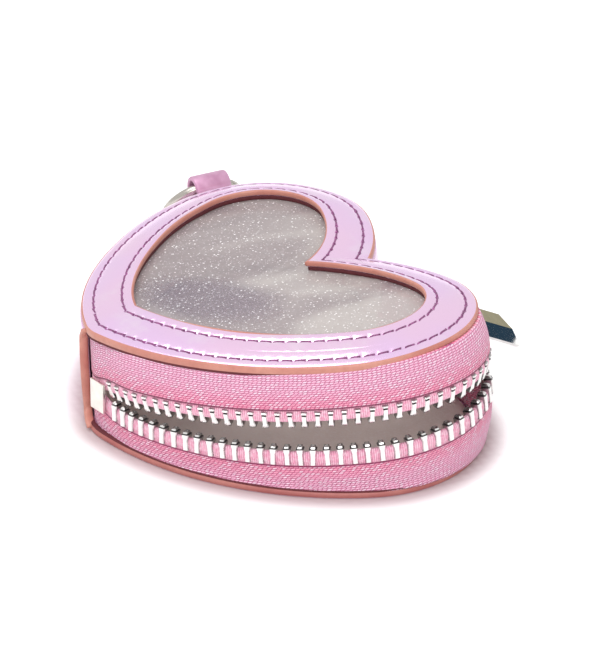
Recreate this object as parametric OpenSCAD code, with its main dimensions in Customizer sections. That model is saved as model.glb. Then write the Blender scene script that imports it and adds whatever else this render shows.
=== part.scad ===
// Heart shaped coin purse that opens with a zip, lying flat on its base.
// The heart's point is at -Y and its two lobes at +Y. The zip runs round the
// +X side from the point to the top of the lobe, and a leather gusset closes
// the -X side. Millimetres, base face at z = 0, +Z up.

/* [Heart outline] */
// Width of the cover across both lobes
cover_w = 92; // [84:1:100]
// Radius of each lobe
lobe_r = 23; // [21:0.5:24]
// Distance of the lobe centres behind the origin
lobe_y = 11; // [9:0.5:13]
// Radius of each long side
side_r = 60; // [55:1:70]
// Radius of the rounded point
tip_r = 10; // [10:0.5:12]
// Distance from the origin to the point
tip_reach = 34.5; // [32:0.5:37]
// Distance from the origin to the bottom of the cleft
cleft_y = 25; // [24:0.5:27]
// Radius of the curve from the cleft to the lobe
cleft_r = 43; // [40:1:50]

/* [Cover] */
// Height of the cover's edge over the origin
cover_h = 23.4; // [22:0.2:26]
// Slope of the cover, up towards the zip
cover_rise_x = 6.5; // [4:0.5:8]
// Slope of the cover, up towards the lobes
cover_rise_y = 2; // [0:0.5:3]
// Thickness of the cover leather
leather_t = 1.1; // [0.8:0.1:1.4]
// Width of the leather border round the window
border_w = 9.6; // [8:0.2:9.8]
// Height that the border climbs from its edge to the window
dome_h = 2.4; // [2:0.1:3]
// Thickness of the backing under the border
backing_t = 0.4; // [0.3:0.1:0.6]
// Width of the backing
backing_w = 5.5; // [4.5:0.5:6]
// Thickness of the window film
film_t = 0.5; // [0.3:0.1:0.6]
// Width of film caught under the border
film_lap = 2.5; // [2:0.5:3]

/* [Base] */
// Distance the base panel stands out past the cover
base_proud = 2.1; // [1.5:0.1:3]
// Thickness of the base leather
base_t = 1.3; // [1:0.1:1.8]
// Thickness of the stiffener board
board_t = 0.5; // [0.4:0.1:0.8]
// Distance from the cover outline in to the board's edge
board_set_in = 1.9; // [1.8:0.1:2.5]
// Thickness of the suede lining
lining_t = 0.5; // [0.4:0.1:0.8]

/* [Side wall] */
// Distance from the cover's edge in to the zip tape
tape_set_in = 0.4; // [0.2:0.1:0.8]
// Thickness of the zip tape
tape_t = 0.6; // [0.5:0.1:0.8]
// Thickness of the gusset leather
gusset_t = 1.2; // [0.8:0.1:1.3]
// Sideways place of the gusset's end at the point
gusset_end_x = -1.5; // [-2:0.1:-1]
// Sideways place of the gusset's end at the cleft, past the zip tape's
gusset_cleft_x = 4; // [3.6:0.1:5]
// Sideways place of the zip tape's end at the point, under the gusset
tape_end_x = -3.5; // [-4:0.1:-3]
// Sideways place of the zip tape's end at the cleft, under the gusset
tape_cleft_x = 3; // [2.5:0.1:3.4]

/* [Zip] */
// Height of the zip's middle at the point
zip_h = 9.8; // [9:0.2:11]
// Slope of the zip, up towards its own side
zip_rise_x = 2.9; // [2:0.1:3.2]
// Slope of the zip, up towards the lobes
zip_rise_y = 1.7; // [1:0.1:2]
// Gap between the two rows of teeth at the ends of the mouth
mouth_gap = 2; // [1.8:0.1:2.4]
// Angle at which the mouth gapes
mouth_angle = 7.4; // [5:0.2:9]
// Distance between teeth along the tape
tooth_pitch = 2.56; // [2.5:0.02:2.7]
// Width of a tooth along the tape
tooth_w = 1.1; // [0.9:0.05:1.15]
// Length of a tooth's jaws over the tape
tooth_jaw = 2.2; // [1.8:0.1:2.4]
// Length of a tooth's head beyond the tape
tooth_head = 1.7; // [1.5:0.1:1.8]
// Thickness of a tooth across the tape
tooth_t = 2.2; // [2:0.1:2.3]
// Sideways place of the end plate's middle
plate_x = 2.7; // [2.5:0.1:3]
// Width of the end plate
plate_w = 4; // [3.5:0.1:4.2]
// Height of the end plate
plate_h = 6.4; // [6:0.2:7]
// Thickness of the end plate
plate_t = 0.6; // [0.5:0.1:0.8]

/* [Mouth flap] */
// Sideways place where the cover starts to lift, at the point
lift_tip_x = 6.5; // [6.4:0.1:7]
// Direction from the lobe's centre to where the cover starts to lift
lift_lobe_angle = 79; // [77:1:80]
// Gap along the line where the cover lifts
lift_gap = 0.3; // [0.2:0.05:0.4]

/* [Slider and puller] */
// Direction from the lobe's centre to the slider
slider_angle = 98; // [96:1:99]
// Height of the slider's middle over the zip's middle there
slider_z = 0.3; // [0.2:0.05:0.4]
// Length of the slider along the zip
slider_l = 9; // [8:0.5:9]
// Height of the slider across both tapes
slider_h = 9.2; // [8.6:0.2:10]
// Thickness of each slider plate
slider_t = 1.1; // [0.9:0.1:1.3]
// Opening under the slider's bridge
bridge_eye = 2.4; // [2.2:0.1:2.8]
// Length of the slider's bridge along the zip
bridge_l = 5.4; // [5:0.1:5.6]
// Radius of the jump ring's wire
link_wire_r = 0.5; // [0.4:0.05:0.55]
// Radius of the jump ring at the middle of its wire
link_r = 3.2; // [3.1:0.1:3.4]
// Distance from the puller's hole to its far end
puller_reach = 21.2; // [18:0.2:21.2]
// Width of the puller
puller_w = 6.7; // [6:0.1:6.8]
// Thickness of the puller
puller_t = 1; // [0.8:0.1:1.1]
// Diameter of the puller's hole
puller_hole_d = 3; // [2.8:0.1:3.2]

/* [Ring and its tab] */
// Place of the tab along the side of the purse
tab_y = 14.3; // [12:0.1:16]
// Width of the tab
tab_w = 7.6; // [7:0.1:8]
// Thickness of the tab's leather
tab_t = 1; // [0.8:0.1:1.2]
// Distance from the gusset to the middle of the tab's loop
tab_l = 4.6; // [4.2:0.1:5]
// Height of the loop's middle
tab_z = 16.9; // [16:0.1:17.5]
// Radius of the ring at the middle of its wire
ring_r = 7.5; // [7:0.1:7.8]
// Radius of the ring's wire
ring_wire_r = 1; // [0.8:0.1:1.05]
// Angle at which the ring leans out from hanging straight down
ring_lean = 35; // [0:1:40]

/* [Stitching] */
// Distance between stitches
stitch_pitch = 2.7; // [2.4:0.1:3.2]
// Length of a stitch
stitch_l = 2; // [1.6:0.1:2.2]
// Thickness of the thread
stitch_t = 0.35; // [0.3:0.05:0.5]
// Distance of a row of stitches from the leather's edge
stitch_set_in = 2.4; // [2:0.1:2.8]

/* [Hidden] */
$fn = 96;

// Largest turn between the flat facets of the domed cover
facet_angle = 4;
// Past any face that is cut
over = 1;
// Past the object on every side
reach = 2 * cover_w;
// Between stacked or sewn layers
seam = 0.05;
// Between a wall and the panel that it meets
wall_gap = 0.15;
// Beside the tape in a tooth's jaws
jaw_clear = 0.15;
// Round the teeth in the slider
slide_clear = 0.25;
// Between meshed heads and the tape opposite
mesh_gap = 0.3;

// Centres of the four arcs of the right half
lobe_x = cover_w / 2 - lobe_r;
lobe_c = [lobe_x, lobe_y];
tip_c = [0, tip_r - tip_reach];
side_c = meet(lobe_c, side_r - lobe_r, tip_c, side_r - tip_r, -1);
cleft_c = meet(lobe_c, cleft_r - lobe_r, [0, cleft_y], cleft_r, 1);
// Directions in which one arc hands over to the next
tip_side_a = heading(tip_c - side_c);
side_lobe_a = heading(lobe_c - side_c);
lobe_cleft_a = heading(lobe_c - cleft_c);
cleft_a = heading([0, cleft_y] - cleft_c);
// Each arc from the point to the cleft: centre, radius, start and end
arcs = [
    [tip_c, tip_r, -90, tip_side_a],
    [side_c, side_r, tip_side_a, side_lobe_a],
    [lobe_c, lobe_r, side_lobe_a, lobe_cleft_a],
    [cleft_c, cleft_r, lobe_cleft_a, cleft_a]
];

dome_slope = dome_h / border_w;
dome_angle = atan(dome_slope);
film_set_in = border_w - film_lap;
film_top = dome_slope * film_set_in - leather_t - wall_gap;
wall_top = -leather_t - backing_t - wall_gap;
tape_in = tape_set_in + tape_t;
tape_mid = tape_set_in + tape_t / 2;
gusset_in = tape_set_in - seam * 2;
gusset_out = gusset_in - gusset_t;
gusset_lining_out = tape_in + seam * 2;
board_z = base_t + seam;
lining_z = board_z + board_t + seam;
wall_z = base_t + seam;

// The line that the flap lifts about, on the plan
lift_a = [lift_tip_x, path_y(lift_tip_x, tape_mid)];
lift_b = lobe_c + (lobe_r - tape_mid) * dir(lift_lobe_angle);
lift_heading = heading(lift_b - lift_a);
lift_n = [sin(lift_heading), -cos(lift_heading)];

slider_half_a = asin(slider_l / 2 / lobe_r);
slider_r = lobe_r - tape_mid;
slider_mid = zip_mid(lobe_c + slider_r * dir(slider_angle)) + slider_z;
channel = tooth_t / 2 + slide_clear;
plate_outer_r = slider_r + channel + slider_t;
post_h = mouth_gap / 2;
// Place of the post along half the slider
post_share = 0.8;
// The teeth mesh from behind the post on, starting a quarter pitch past a tooth
first_tooth_s = side_s(lift_tip_x, tape_mid) + tooth_pitch / 2;
post_end_s = lobe_s(slider_angle - slider_half_a * post_share, tape_mid) + post_h / 2;
mesh_count = ceil((post_end_s + jaw_clear - first_tooth_s) / tooth_pitch - 1 / 4);
mesh_s = first_tooth_s + (mesh_count + 1 / 4) * tooth_pitch;
mesh_a = side_lobe_a + (mesh_s - length_to(2, tape_mid)) / (lobe_r - tape_mid) * 180 / PI;
stop_l = 1.2;
stop_a = slider_angle + slider_half_a + (stop_l + slide_clear) / lobe_r * 180 / PI;
closed_gap = mesh_gap - tooth_head;

// The jump ring hangs from the bridge towards the cleft
link_turn = [30, -7.5, 159.4];
link_c_r = plate_outer_r + bridge_eye / 2;
link_eye = [lobe_x, lobe_y, slider_mid] + link_c_r * [cos(slider_angle), sin(slider_angle), 0];
link_dir = [cos(link_turn[1]) * cos(link_turn[2]), cos(link_turn[1]) * sin(link_turn[2]), -sin(link_turn[1])];
puller_at = link_eye + 2 * link_r * link_dir;
puller_turn = [43, 32.9, 120];
puller_end = puller_hole_d / 2 + 1.1 * puller_t;

tab_x = -cover_w / 2 + gusset_out - wall_gap * 2;
tab_loop_x = tab_x - tab_l;
// The ring's arc fills the tab's bore from its top in the middle to its inside at both ends
ring_top = ring_r + ring_wire_r;
ring_low = sqrt(pow(ring_r - ring_wire_r, 2) - pow(tab_w / 2, 2));
tab_bore_r = (ring_top - ring_low) / 2 + jaw_clear;

function dir(a) = [cos(a), sin(a)];
function heading(v) = atan2(v[1], v[0]);

// Where circles of radius ra round a and rb round b cross, on the given side
function meet(a, ra, b, rb, side) =
    let (v = b - a, d = norm(v), along = (d * d + ra * ra - rb * rb) / (2 * d),
        off = sqrt(ra * ra - along * along), u = v / d)
    a + along * u + side * off * [-u[1], u[0]];

// Length of one arc when the outline is drawn in by inset
function arc_length(k, inset) = (arcs[k][1] - inset) * (arcs[k][3] - arcs[k][2]) * PI / 180;
function length_to(k, inset) = k == 0 ? 0 : length_to(k - 1, inset) + arc_length(k - 1, inset);
path_end = 4;

// Arc that holds the point a distance s along the outline from the point
function arc_at(s, inset, k = 0) =
    k == path_end - 1 || s < length_to(k + 1, inset) ? k : arc_at(s, inset, k + 1);

// Place and outward direction at distance s: [x, y, angle]
function path(s, inset) =
    let (k = arc_at(s, inset), r = arcs[k][1] - inset,
        a = arcs[k][2] + (s - length_to(k, inset)) / r * 180 / PI, p = arcs[k][0] + r * dir(a))
    [p[0], p[1], a];

// Distance along the outline to direction a on the lobe
function lobe_s(a, inset) = length_to(2, inset) + (lobe_r - inset) * (a - side_lobe_a) * PI / 180;

// Distance along the side arc to the sideways place x
function side_s(x, inset) =
    length_to(1, inset)
    + (side_r - inset) * (-acos((x - side_c[0]) / (side_r - inset)) - tip_side_a) * PI / 180;
function path_y(x, inset) = side_c[1] - sqrt(pow(side_r - inset, 2) - pow(x - side_c[0], 2));

// Distance of a place from the lift line, towards the zip
function lift_side(p) = (p[0] - lift_a[0]) * lift_n[0] + (p[1] - lift_a[1]) * lift_n[1];

// Height of the zip's middle, and the gap between the rows, over a place
function zip_mid(p) = zip_h + tan(zip_rise_x) * p[0] + tan(zip_rise_y) * (p[1] + tip_reach);
function gape(p) = mouth_gap + tan(mouth_angle) * lift_side(p);
zip_mid_slope = [tan(zip_rise_x), tan(zip_rise_y)];
gape_slope = tan(mouth_angle) * lift_n;

// Half a heart, x over 0, drawn in by inset: the side's and the cleft's discs, trimmed to the point's and the lobe's
module half_heart(inset, h) {
    module disc(k, past = 0) {
        translate([arcs[k][0][0], arcs[k][0][1], -past]) cylinder(h = h + 2 * past, r = arcs[k][1] - inset);
    }
    module trim(k) {
        fan = [for (j = [0:4]) arcs[k][0] + reach * dir(arcs[k][2] + (arcs[k][3] - arcs[k][2]) * j / 4)];
        difference() {
            translate([0, 0, -over]) linear_extrude(h + 2 * over) polygon(concat([arcs[k][0]], fan));
            disc(k, 2 * over);
        }
    }
    difference() {
        intersection() {
            disc(1);
            disc(3);
            translate([0, -reach, -over]) cube([reach, 2 * reach, h + 2 * over]);
        }
        trim(0);
        trim(2);
    }
}

// Whole heart, standing on z
module heart(z, h, inset) {
    translate([0, 0, z]) {
        half_heart(inset, h);
        mirror([1, 0, 0]) half_heart(inset, h);
    }
}

// Band between two insets
module band(z, h, outer, inner) {
    difference() {
        heart(z, h, outer);
        heart(z - over, h + 2 * over, inner);
    }
}

// Direction in which the cleft's arc reaches x = 0 when it is drawn in by inset
function cleft_end(inset) = acos(-cleft_c[0] / (cleft_r - inset));

// Half the outline as points, from the point of the heart to the cleft
function arc_points(k, inset, end) =
    let (steps = ceil((arcs[k][3] - arcs[k][2]) / facet_angle))
    [for (j = [k == 0 ? 1 : 0:steps - 1])
        arcs[k][0] + (arcs[k][1] - inset) * dir(arcs[k][2] + (end - arcs[k][2]) * j / steps)];
function half_outline(inset) = concat(
    [[0, tip_c[1] - tip_r + inset]],
    [for (k = [0:path_end - 1]) each arc_points(k, inset, k == path_end - 1 ? cleft_end(inset) : arcs[k][3])],
    [[0, cleft_c[1] + (cleft_r - inset) * sin(cleft_end(inset))]]);

// A profile of four points [inset, z], anticlockwise seen along the outline, swept round the whole heart.
// Each point lies on a straight line from the border's outer edge to its window edge.
module swept(profile) {
    outer_line = half_outline(0);
    window_line = half_outline(border_w);
    n = len(outer_line);
    lines = [for (q = profile) [for (i = [0:n - 1])
        let (p = outer_line[i] + (window_line[i] - outer_line[i]) * q[0] / border_w) [p[0], p[1], q[1]]]];
    m = len(profile);
    sides = [for (j = [0:m - 1], i = [0:n - 2])
        [j * n + i, j * n + i + 1, (j + 1) % m * n + i + 1, (j + 1) % m * n + i]];
    ends = [[for (j = [0:m - 1]) j * n], [for (j = [m - 1:-1:0]) j * n + n - 1]];
    triangles = [for (f = concat(sides, ends)) each [[f[0], f[1], f[2]], [f[0], f[2], f[3]]]];
    for (side = [0, 1])
        mirror([side, 0, 0]) polyhedron(points = [for (line = lines) each line], faces = triangles);
}

// Everything over the plane that has height z at the origin and slopes [sx, sy]
module above(z, slope) {
    tilt = atan(slope[0]);
    translate([0, 0, z]) rotate([atan(slope[1] * cos(tilt)), -tilt, 0])
        translate([-reach, -reach, 0]) cube([2 * reach, 2 * reach, reach]);
}

// The cover's own frame: z = 0 at the top of its outer edge
module on_cover() {
    translate([0, 0, cover_h]) rotate([cover_rise_y, -cover_rise_x, 0]) children();
}

// Everything over the tops of the side walls
module over_walls() {
    on_cover() translate([-reach, -reach, wall_top]) cube([2 * reach, 2 * reach, reach]);
}

// The side of the lift line that lifts, side = 1, or stays, side = -1
module lift_half(side) {
    translate([lift_a[0], lift_a[1], -reach]) rotate(lift_heading - 90)
        translate([side > 0 ? lift_gap / 2 : -reach - lift_gap / 2, -reach, 0])
            cube([reach, 2 * reach, 2 * reach]);
}

// Sector round the lobe's centre between two directions
module lobe_sector(from, to) {
    fan = [for (j = [0:4]) lobe_c + reach * dir(from + (to - from) * j / 4)];
    translate([0, 0, -reach]) linear_extrude(2 * reach) polygon(concat([lobe_c], fan));
}

// One child placed on the outline, x outwards and y along it
module at_path(s, inset) {
    p = path(s, inset);
    translate([p[0], p[1], 0]) rotate(p[2]) children();
}

// Sheet of thickness t that follows the dome between two insets, its top drop under the surface
module dome_sheet(drop, t, outer, inner) {
    swept([[outer, dome_slope * outer - drop], [outer, dome_slope * outer - drop - t],
        [inner, dome_slope * inner - drop - t], [inner, dome_slope * inner - drop]]);
}

module border() {
    dome_sheet(0, leather_t, 0, border_w);
}

module backing() {
    dome_sheet(leather_t + 2 * seam, backing_t, seam, backing_w);
}

module film() {
    heart(film_top - film_t, film_t, film_set_in);
}

// Row of stitches on the cover, on one side of the lift line
module cover_row(inset, side) {
    total = length_to(path_end, inset);
    count = floor((total - stitch_pitch) / stitch_pitch);
    step = (total - stitch_pitch) / count;
    for (flip = [0, 1], k = [0:count]) {
        s = stitch_pitch / 2 + k * step;
        p = path(s, inset);
        q = [flip == 0 ? p[0] : -p[0], p[1]];
        if (lift_side(q) * side > stitch_l)
            mirror([flip, 0, 0]) at_path(s, inset)
                translate([0, 0, dome_slope * inset + seam]) rotate([0, dome_angle, 0])
                    translate([-stitch_t, -stitch_l / 2, 0]) cube([2 * stitch_t, stitch_l, stitch_t]);
    }
}

module base_panel() {
    color("lightpink") heart(0, base_t, -base_proud);
}

module base_board() {
    color("burlywood") heart(board_z, board_t, board_set_in);
}

module base_lining() {
    color("rosybrown") heart(lining_z, lining_t, board_set_in);
}

// Stitches along the rim of the base panel, outside the walls
module base_stitching() {
    inset = gusset_out / 2 - base_proud / 2;
    total = length_to(path_end, inset);
    count = floor((total - 2 * stitch_pitch) / stitch_pitch);
    color("palevioletred") for (flip = [0, 1], k = [0:count])
        mirror([flip, 0, 0]) at_path(stitch_pitch * (k + 1 / 2), inset)
            translate([-stitch_t / 2, -stitch_l / 2, base_t + seam]) cube([stitch_t, stitch_l, stitch_t]);
}

// What lies past the gusset's two ends
module past_gusset() {
    translate([gusset_end_x, -reach, 0]) cube([reach, reach, reach]);
    translate([gusset_cleft_x, -over, 0]) cube([reach, reach, reach]);
}

module gusset() {
    color("plum") difference() {
        band(wall_z, cover_h, gusset_out, gusset_in);
        past_gusset();
        over_walls();
    }
}

module gusset_lining() {
    color("rosybrown") difference() {
        band(wall_z, cover_h, gusset_lining_out, gusset_lining_out + lining_t);
        past_gusset();
        over_walls();
    }
}

// Both tapes together, from the point to the cleft on the zip's side
module tape_wall() {
    difference() {
        band(wall_z, cover_h + cover_w * tan(cover_rise_x), tape_set_in, tape_in);
        translate([-reach + tape_end_x, -reach, 0]) cube([reach, 2 * reach, reach]);
        translate([-reach + tape_cleft_x, 0, 0]) cube([reach, reach, reach]);
        over_walls();
    }
}

// What lies over the edge of a tape where the mouth gapes, row = 1 or -1
module over_open_edge(row) {
    above(zip_mid([0, 0]) + row * (gape([0, 0]) / 2 + tooth_head), zip_mid_slope + row * gape_slope / 2);
}

// The same where the teeth mesh
module over_closed_edge(row) {
    above(zip_mid([0, 0]) + row * (closed_gap / 2 + tooth_head), zip_mid_slope);
}

module meshed_part() {
    intersection() {
        lobe_sector(mesh_a, mesh_a + 90);
        translate([tape_cleft_x, 0, 0]) cube([reach, reach, reach]);
    }
}

module lower_tape() {
    color("hotpink") {
        difference() {
            tape_wall();
            over_open_edge(-1);
        }
        difference() {
            intersection() {
                tape_wall();
                meshed_part();
            }
            over_closed_edge(-1);
        }
    }
}

// Upper tape that stays put, from the flap's end to the cleft
module end_tape() {
    color("hotpink") intersection() {
        tape_wall();
        translate([0, lobe_y, 0]) cube([reach, reach, reach]);
        lift_half(-1);
        union() {
            intersection() {
                over_closed_edge(1);
                meshed_part();
            }
            over_open_edge(1);
        }
    }
}

// Upper tape that stays put at the point, under the end plate
module tip_tape() {
    color("hotpink") intersection() {
        tape_wall();
        translate([-reach, -reach, 0]) cube([2 * reach, reach, reach]);
        lift_half(-1);
        over_open_edge(1);
    }
}

module upper_tape() {
    color("hotpink") intersection() {
        tape_wall();
        lift_half(1);
        over_open_edge(1);
    }
}

// A tooth whose tape edge is at z = 0, its jaws up and its head down
module tooth() {
    slot = tape_t + 2 * jaw_clear;
    difference() {
        translate([-tooth_t / 2, -tooth_w / 2, -tooth_head])
            cube([tooth_t, tooth_w, tooth_head + tooth_jaw]);
        translate([-slot / 2, -tooth_w, -jaw_clear]) cube([slot, 2 * tooth_w, tooth_jaw + over]);
        for (side = [-1, 1])
            translate([side * tooth_t / 2, 0, -tooth_head]) rotate([0, 45, 0])
                cube([tooth_t / 4, 2 * tooth_w, tooth_t / 4], center = true);
    }
}

// Teeth from one distance along the tape to another, row = 1 upper or -1 lower
module teeth(from, to, row) {
    first = first_tooth_s + (row > 0 ? 0 : tooth_pitch / 2);
    count = floor((to - first) / tooth_pitch);
    for (k = [0:count]) {
        s = first + k * tooth_pitch;
        p = path(s, tape_mid);
        gap = s > mesh_s ? closed_gap : gape(p);
        if (s > from)
            at_path(s, tape_mid) translate([0, 0, zip_mid(p) + row * (gap / 2 + tooth_head)])
                mirror([0, 0, row > 0 ? 0 : 1]) tooth();
    }
}

module lower_teeth() {
    color("silver") teeth(0, lobe_s(stop_a, tape_mid) - tooth_pitch, -1);
}

module end_teeth() {
    color("silver")
        teeth(lobe_s(lift_lobe_angle, tape_mid) + tooth_w, lobe_s(stop_a, tape_mid) - tooth_pitch, 1);
}

module upper_teeth() {
    color("silver") teeth(0, lobe_s(lift_lobe_angle, tape_mid) - tooth_w, 1);
}

// Flat metal plate over the ends of both tapes at the point
module end_plate() {
    s = side_s(plate_x, tape_set_in);
    p = path(s, tape_set_in);
    color("gainsboro") at_path(s, tape_set_in)
        translate([jaw_clear, -plate_w / 2, zip_mid(p) - plate_h / 2])
            cube([plate_t, plate_w, plate_h]);
}

// Metal clip across both tapes behind the slider: two cheeks and a web
module bottom_stop() {
    s = lobe_s(stop_a, tape_mid);
    p = path(s, tape_mid);
    web = closed_gap + 2 * tooth_head - 2 * jaw_clear;
    color("silver") at_path(s, tape_mid) translate([0, 0, zip_mid(p)]) {
        for (side = [-1, 1])
            translate([side * (tape_t / 2 + jaw_clear + plate_t / 2), 0, 0])
                cube([plate_t, stop_l, plate_h], center = true);
        cube([tape_t + 2 * jaw_clear + plate_t, stop_l, web], center = true);
    }
}

module cover_border() {
    color("plum") on_cover() intersection() {
        border();
        lift_half(-1);
    }
}

module cover_backing() {
    color("mistyrose") on_cover() intersection() {
        backing();
        lift_half(-1);
    }
}

module cover_film() {
    color("silver") on_cover() intersection() {
        film();
        lift_half(-1);
    }
}

module cover_stitching() {
    color("palevioletred") on_cover() cover_row(stitch_set_in, -1);
}

module window_stitching() {
    color("palevioletred") on_cover() cover_row(border_w - stitch_set_in, -1);
}

module flap_border() {
    color("plum") on_cover() intersection() {
        border();
        lift_half(1);
    }
}

module flap_backing() {
    color("mistyrose") on_cover() intersection() {
        backing();
        lift_half(1);
    }
}

module flap_film() {
    color("silver") on_cover() intersection() {
        film();
        lift_half(1);
    }
}

module flap_stitching() {
    color("palevioletred") on_cover() cover_row(stitch_set_in, 1);
}

module flap_window_stitching() {
    color("palevioletred") on_cover() cover_row(border_w - stitch_set_in, 1);
}

// Slider: two curved plates, the post between the rows and the bridge outside
module slider() {
    module shell(inner, outer) {
        difference() {
            cylinder(h = slider_h, r = outer, center = true);
            cylinder(h = slider_h + over, r = inner, center = true);
        }
    }
    leg = plate_outer_r - slider_t / 2;
    bridge_top = bridge_eye + 2 * link_wire_r;
    color("silver") translate([lobe_x, lobe_y, slider_mid]) {
        intersection() {
            union() {
                shell(slider_r + channel, plate_outer_r);
                shell(slider_r - channel - slider_t, slider_r - channel);
            }
            translate([-lobe_x, -lobe_y, 0]) lobe_sector(slider_angle - slider_half_a, slider_angle + slider_half_a);
        }
        rotate(slider_angle - slider_half_a * post_share)
            translate([slider_r - channel - slider_t / 2, -post_h / 2, -post_h / 2])
                cube([2 * channel + slider_t, post_h, post_h]);
        rotate(slider_angle) difference() {
            translate([leg, -bridge_l / 2, -link_r / 4]) cube([bridge_top + slider_t / 2, bridge_l, link_r / 2]);
            translate([leg - over, -bridge_l / 2 + 2 * link_wire_r, -link_r])
                cube([bridge_eye + slider_t / 2 + over, bridge_l - 4 * link_wire_r, 2 * link_r]);
        }
    }
}

// Jump ring through the bridge
module puller_link() {
    color("silver") translate(link_eye) rotate(link_turn) translate([link_r, 0, 0])
        rotate([90, 0, 0]) rotate_extrude() translate([link_r, 0]) circle(link_wire_r);
}

// Flat puller with a round end at its hole and a slanted far end
module puller() {
    color("silver") translate(puller_at) rotate(puller_turn) difference() {
        translate([0, 0, -puller_t / 2]) linear_extrude(puller_t) union() {
            circle(puller_end);
            polygon([[0, -puller_end], [puller_w / 2, -puller_w / 2], [puller_reach, -puller_w / 2],
                [puller_reach - puller_w / 6, 0], [puller_reach - puller_w / 2, puller_w / 2],
                [puller_w / 2, puller_w / 2], [0, puller_end]]);
        }
        cylinder(h = puller_t + over, d = puller_hole_d, center = true);
    }
}

// Folded leather tab that holds the ring, its loop along y
module ring_tab() {
    outer_r = tab_bore_r + tab_t;
    color("plum") translate([tab_loop_x, tab_y + tab_w / 2, tab_z]) rotate([90, 0, 0])
        linear_extrude(tab_w) difference() {
            union() {
                circle(outer_r);
                translate([0, -tab_t]) square([tab_l, 2 * tab_t]);
            }
            circle(tab_bore_r);
        }
}

// Round ring in the tab, leaning out from the purse
module carry_ring() {
    color("silver") translate([tab_loop_x, tab_y, tab_z]) rotate([0, ring_lean, 0])
        translate([0, 0, -(ring_top + ring_low) / 2]) rotate([0, 90, 0])
            rotate_extrude() translate([ring_r, 0]) circle(ring_wire_r);
}

base_panel();
base_board();
base_lining();
base_stitching();
gusset();
gusset_lining();
lower_tape();
lower_teeth();
end_tape();
end_teeth();
tip_tape();
end_plate();
bottom_stop();
cover_border();
cover_backing();
cover_film();
cover_stitching();
window_stitching();
flap_border();
flap_backing();
flap_film();
flap_stitching();
flap_window_stitching();
upper_tape();
upper_teeth();
slider();
puller_link();
puller();
ring_tab();
carry_ring();
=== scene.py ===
# Heart shaped coin purse: leather, window film, woven zip tapes and metal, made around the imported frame.
import math
import bpy
import bmesh
import numpy as np
from mathutils import Matrix, Quaternion, Vector


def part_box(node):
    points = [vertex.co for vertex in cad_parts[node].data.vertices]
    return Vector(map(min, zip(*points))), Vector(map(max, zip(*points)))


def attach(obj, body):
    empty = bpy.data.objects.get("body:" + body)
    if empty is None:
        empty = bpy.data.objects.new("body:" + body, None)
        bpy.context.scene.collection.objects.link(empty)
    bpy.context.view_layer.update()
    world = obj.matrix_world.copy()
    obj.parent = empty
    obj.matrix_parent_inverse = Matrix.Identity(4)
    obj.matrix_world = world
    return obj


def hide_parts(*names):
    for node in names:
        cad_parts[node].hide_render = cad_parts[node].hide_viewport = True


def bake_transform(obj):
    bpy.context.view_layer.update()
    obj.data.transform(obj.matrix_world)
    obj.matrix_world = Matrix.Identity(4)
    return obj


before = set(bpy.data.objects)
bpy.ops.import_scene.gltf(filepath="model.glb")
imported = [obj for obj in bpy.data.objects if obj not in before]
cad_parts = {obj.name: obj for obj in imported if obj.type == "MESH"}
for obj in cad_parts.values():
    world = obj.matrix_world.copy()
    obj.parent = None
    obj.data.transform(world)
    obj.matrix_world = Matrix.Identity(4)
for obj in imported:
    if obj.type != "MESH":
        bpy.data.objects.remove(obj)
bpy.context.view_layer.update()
print("frame loaded:", len(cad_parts), "nodes")

mm = 0.001

# Outline of the cover, as in the frame: four arcs from the point to the cleft
heart = dict(width=92 * mm, lobeRadius=23 * mm, lobeY=11 * mm, sideRadius=60 * mm, tipRadius=10 * mm,
             tipReach=34.5 * mm, cleftY=25 * mm, cleftRadius=43 * mm)
# Plane of the cover's edge, and the climb of its border to the window
cover = dict(height=23.4 * mm, riseX=math.radians(6.5), riseY=math.radians(2), border=9.6 * mm, dome=2.4 * mm,
             thickness=1.1 * mm, pillows=(0.20 * mm, 0.34 * mm, 0.18 * mm), wave=0.12 * mm,
             crease=0.09 * mm, creaseAt=4.1 * mm, ripple=0.06 * mm, rippleAt=48 * mm, corner=0.30 * mm,
             inside=0.02 * mm, steps=400, lineSteps=250)
# How far the worn cover has settled out of its plane over each region, sideways along y and in height
settling = dict(sideY=2.2 * mm, sideZ=1.3 * mm, shoulderZ=0.9 * mm, nearY=-1.3 * mm, cleftZ=-0.6 * mm,
                lobeY=1.0 * mm, lobeZ=-0.5 * mm, windowY=0.5 * mm)


# Geometry of the outline

def crossing(a, ra, b, rb, side):
    # where circles round a and b cross: along the line between them, then square to it
    v = b - a
    gap = np.linalg.norm(v)
    along = (gap * gap + ra * ra - rb * rb) / (2 * gap)
    off = math.sqrt(ra * ra - along * along)
    u = v / gap
    return a + along * u + side * off * np.array([-u[1], u[0]])


lobeCentre = np.array([heart["width"] / 2 - heart["lobeRadius"], heart["lobeY"]])
tipCentre = np.array([0, heart["tipRadius"] - heart["tipReach"]])
sideCentre = crossing(lobeCentre, heart["sideRadius"] - heart["lobeRadius"],
                      tipCentre, heart["sideRadius"] - heart["tipRadius"], -1)
cleftCentre = crossing(lobeCentre, heart["cleftRadius"] - heart["lobeRadius"],
                       np.array([0, heart["cleftY"]]), heart["cleftRadius"], 1)


def heading(v):
    return math.atan2(v[1], v[0])


arcCentres = np.array([tipCentre, sideCentre, lobeCentre, cleftCentre])
arcRadii = np.array([heart["tipRadius"], heart["sideRadius"], heart["lobeRadius"], heart["cleftRadius"]])
arcStarts = np.array([-math.pi / 2, heading(tipCentre - sideCentre), heading(lobeCentre - sideCentre),
                      heading(lobeCentre - cleftCentre)])
arcEnds = np.append(arcStarts[1:], heading(np.array([0, heart["cleftY"]]) - cleftCentre))
arcLengths = arcRadii * (arcEnds - arcStarts)
halfLength = arcLengths.sum()


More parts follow.
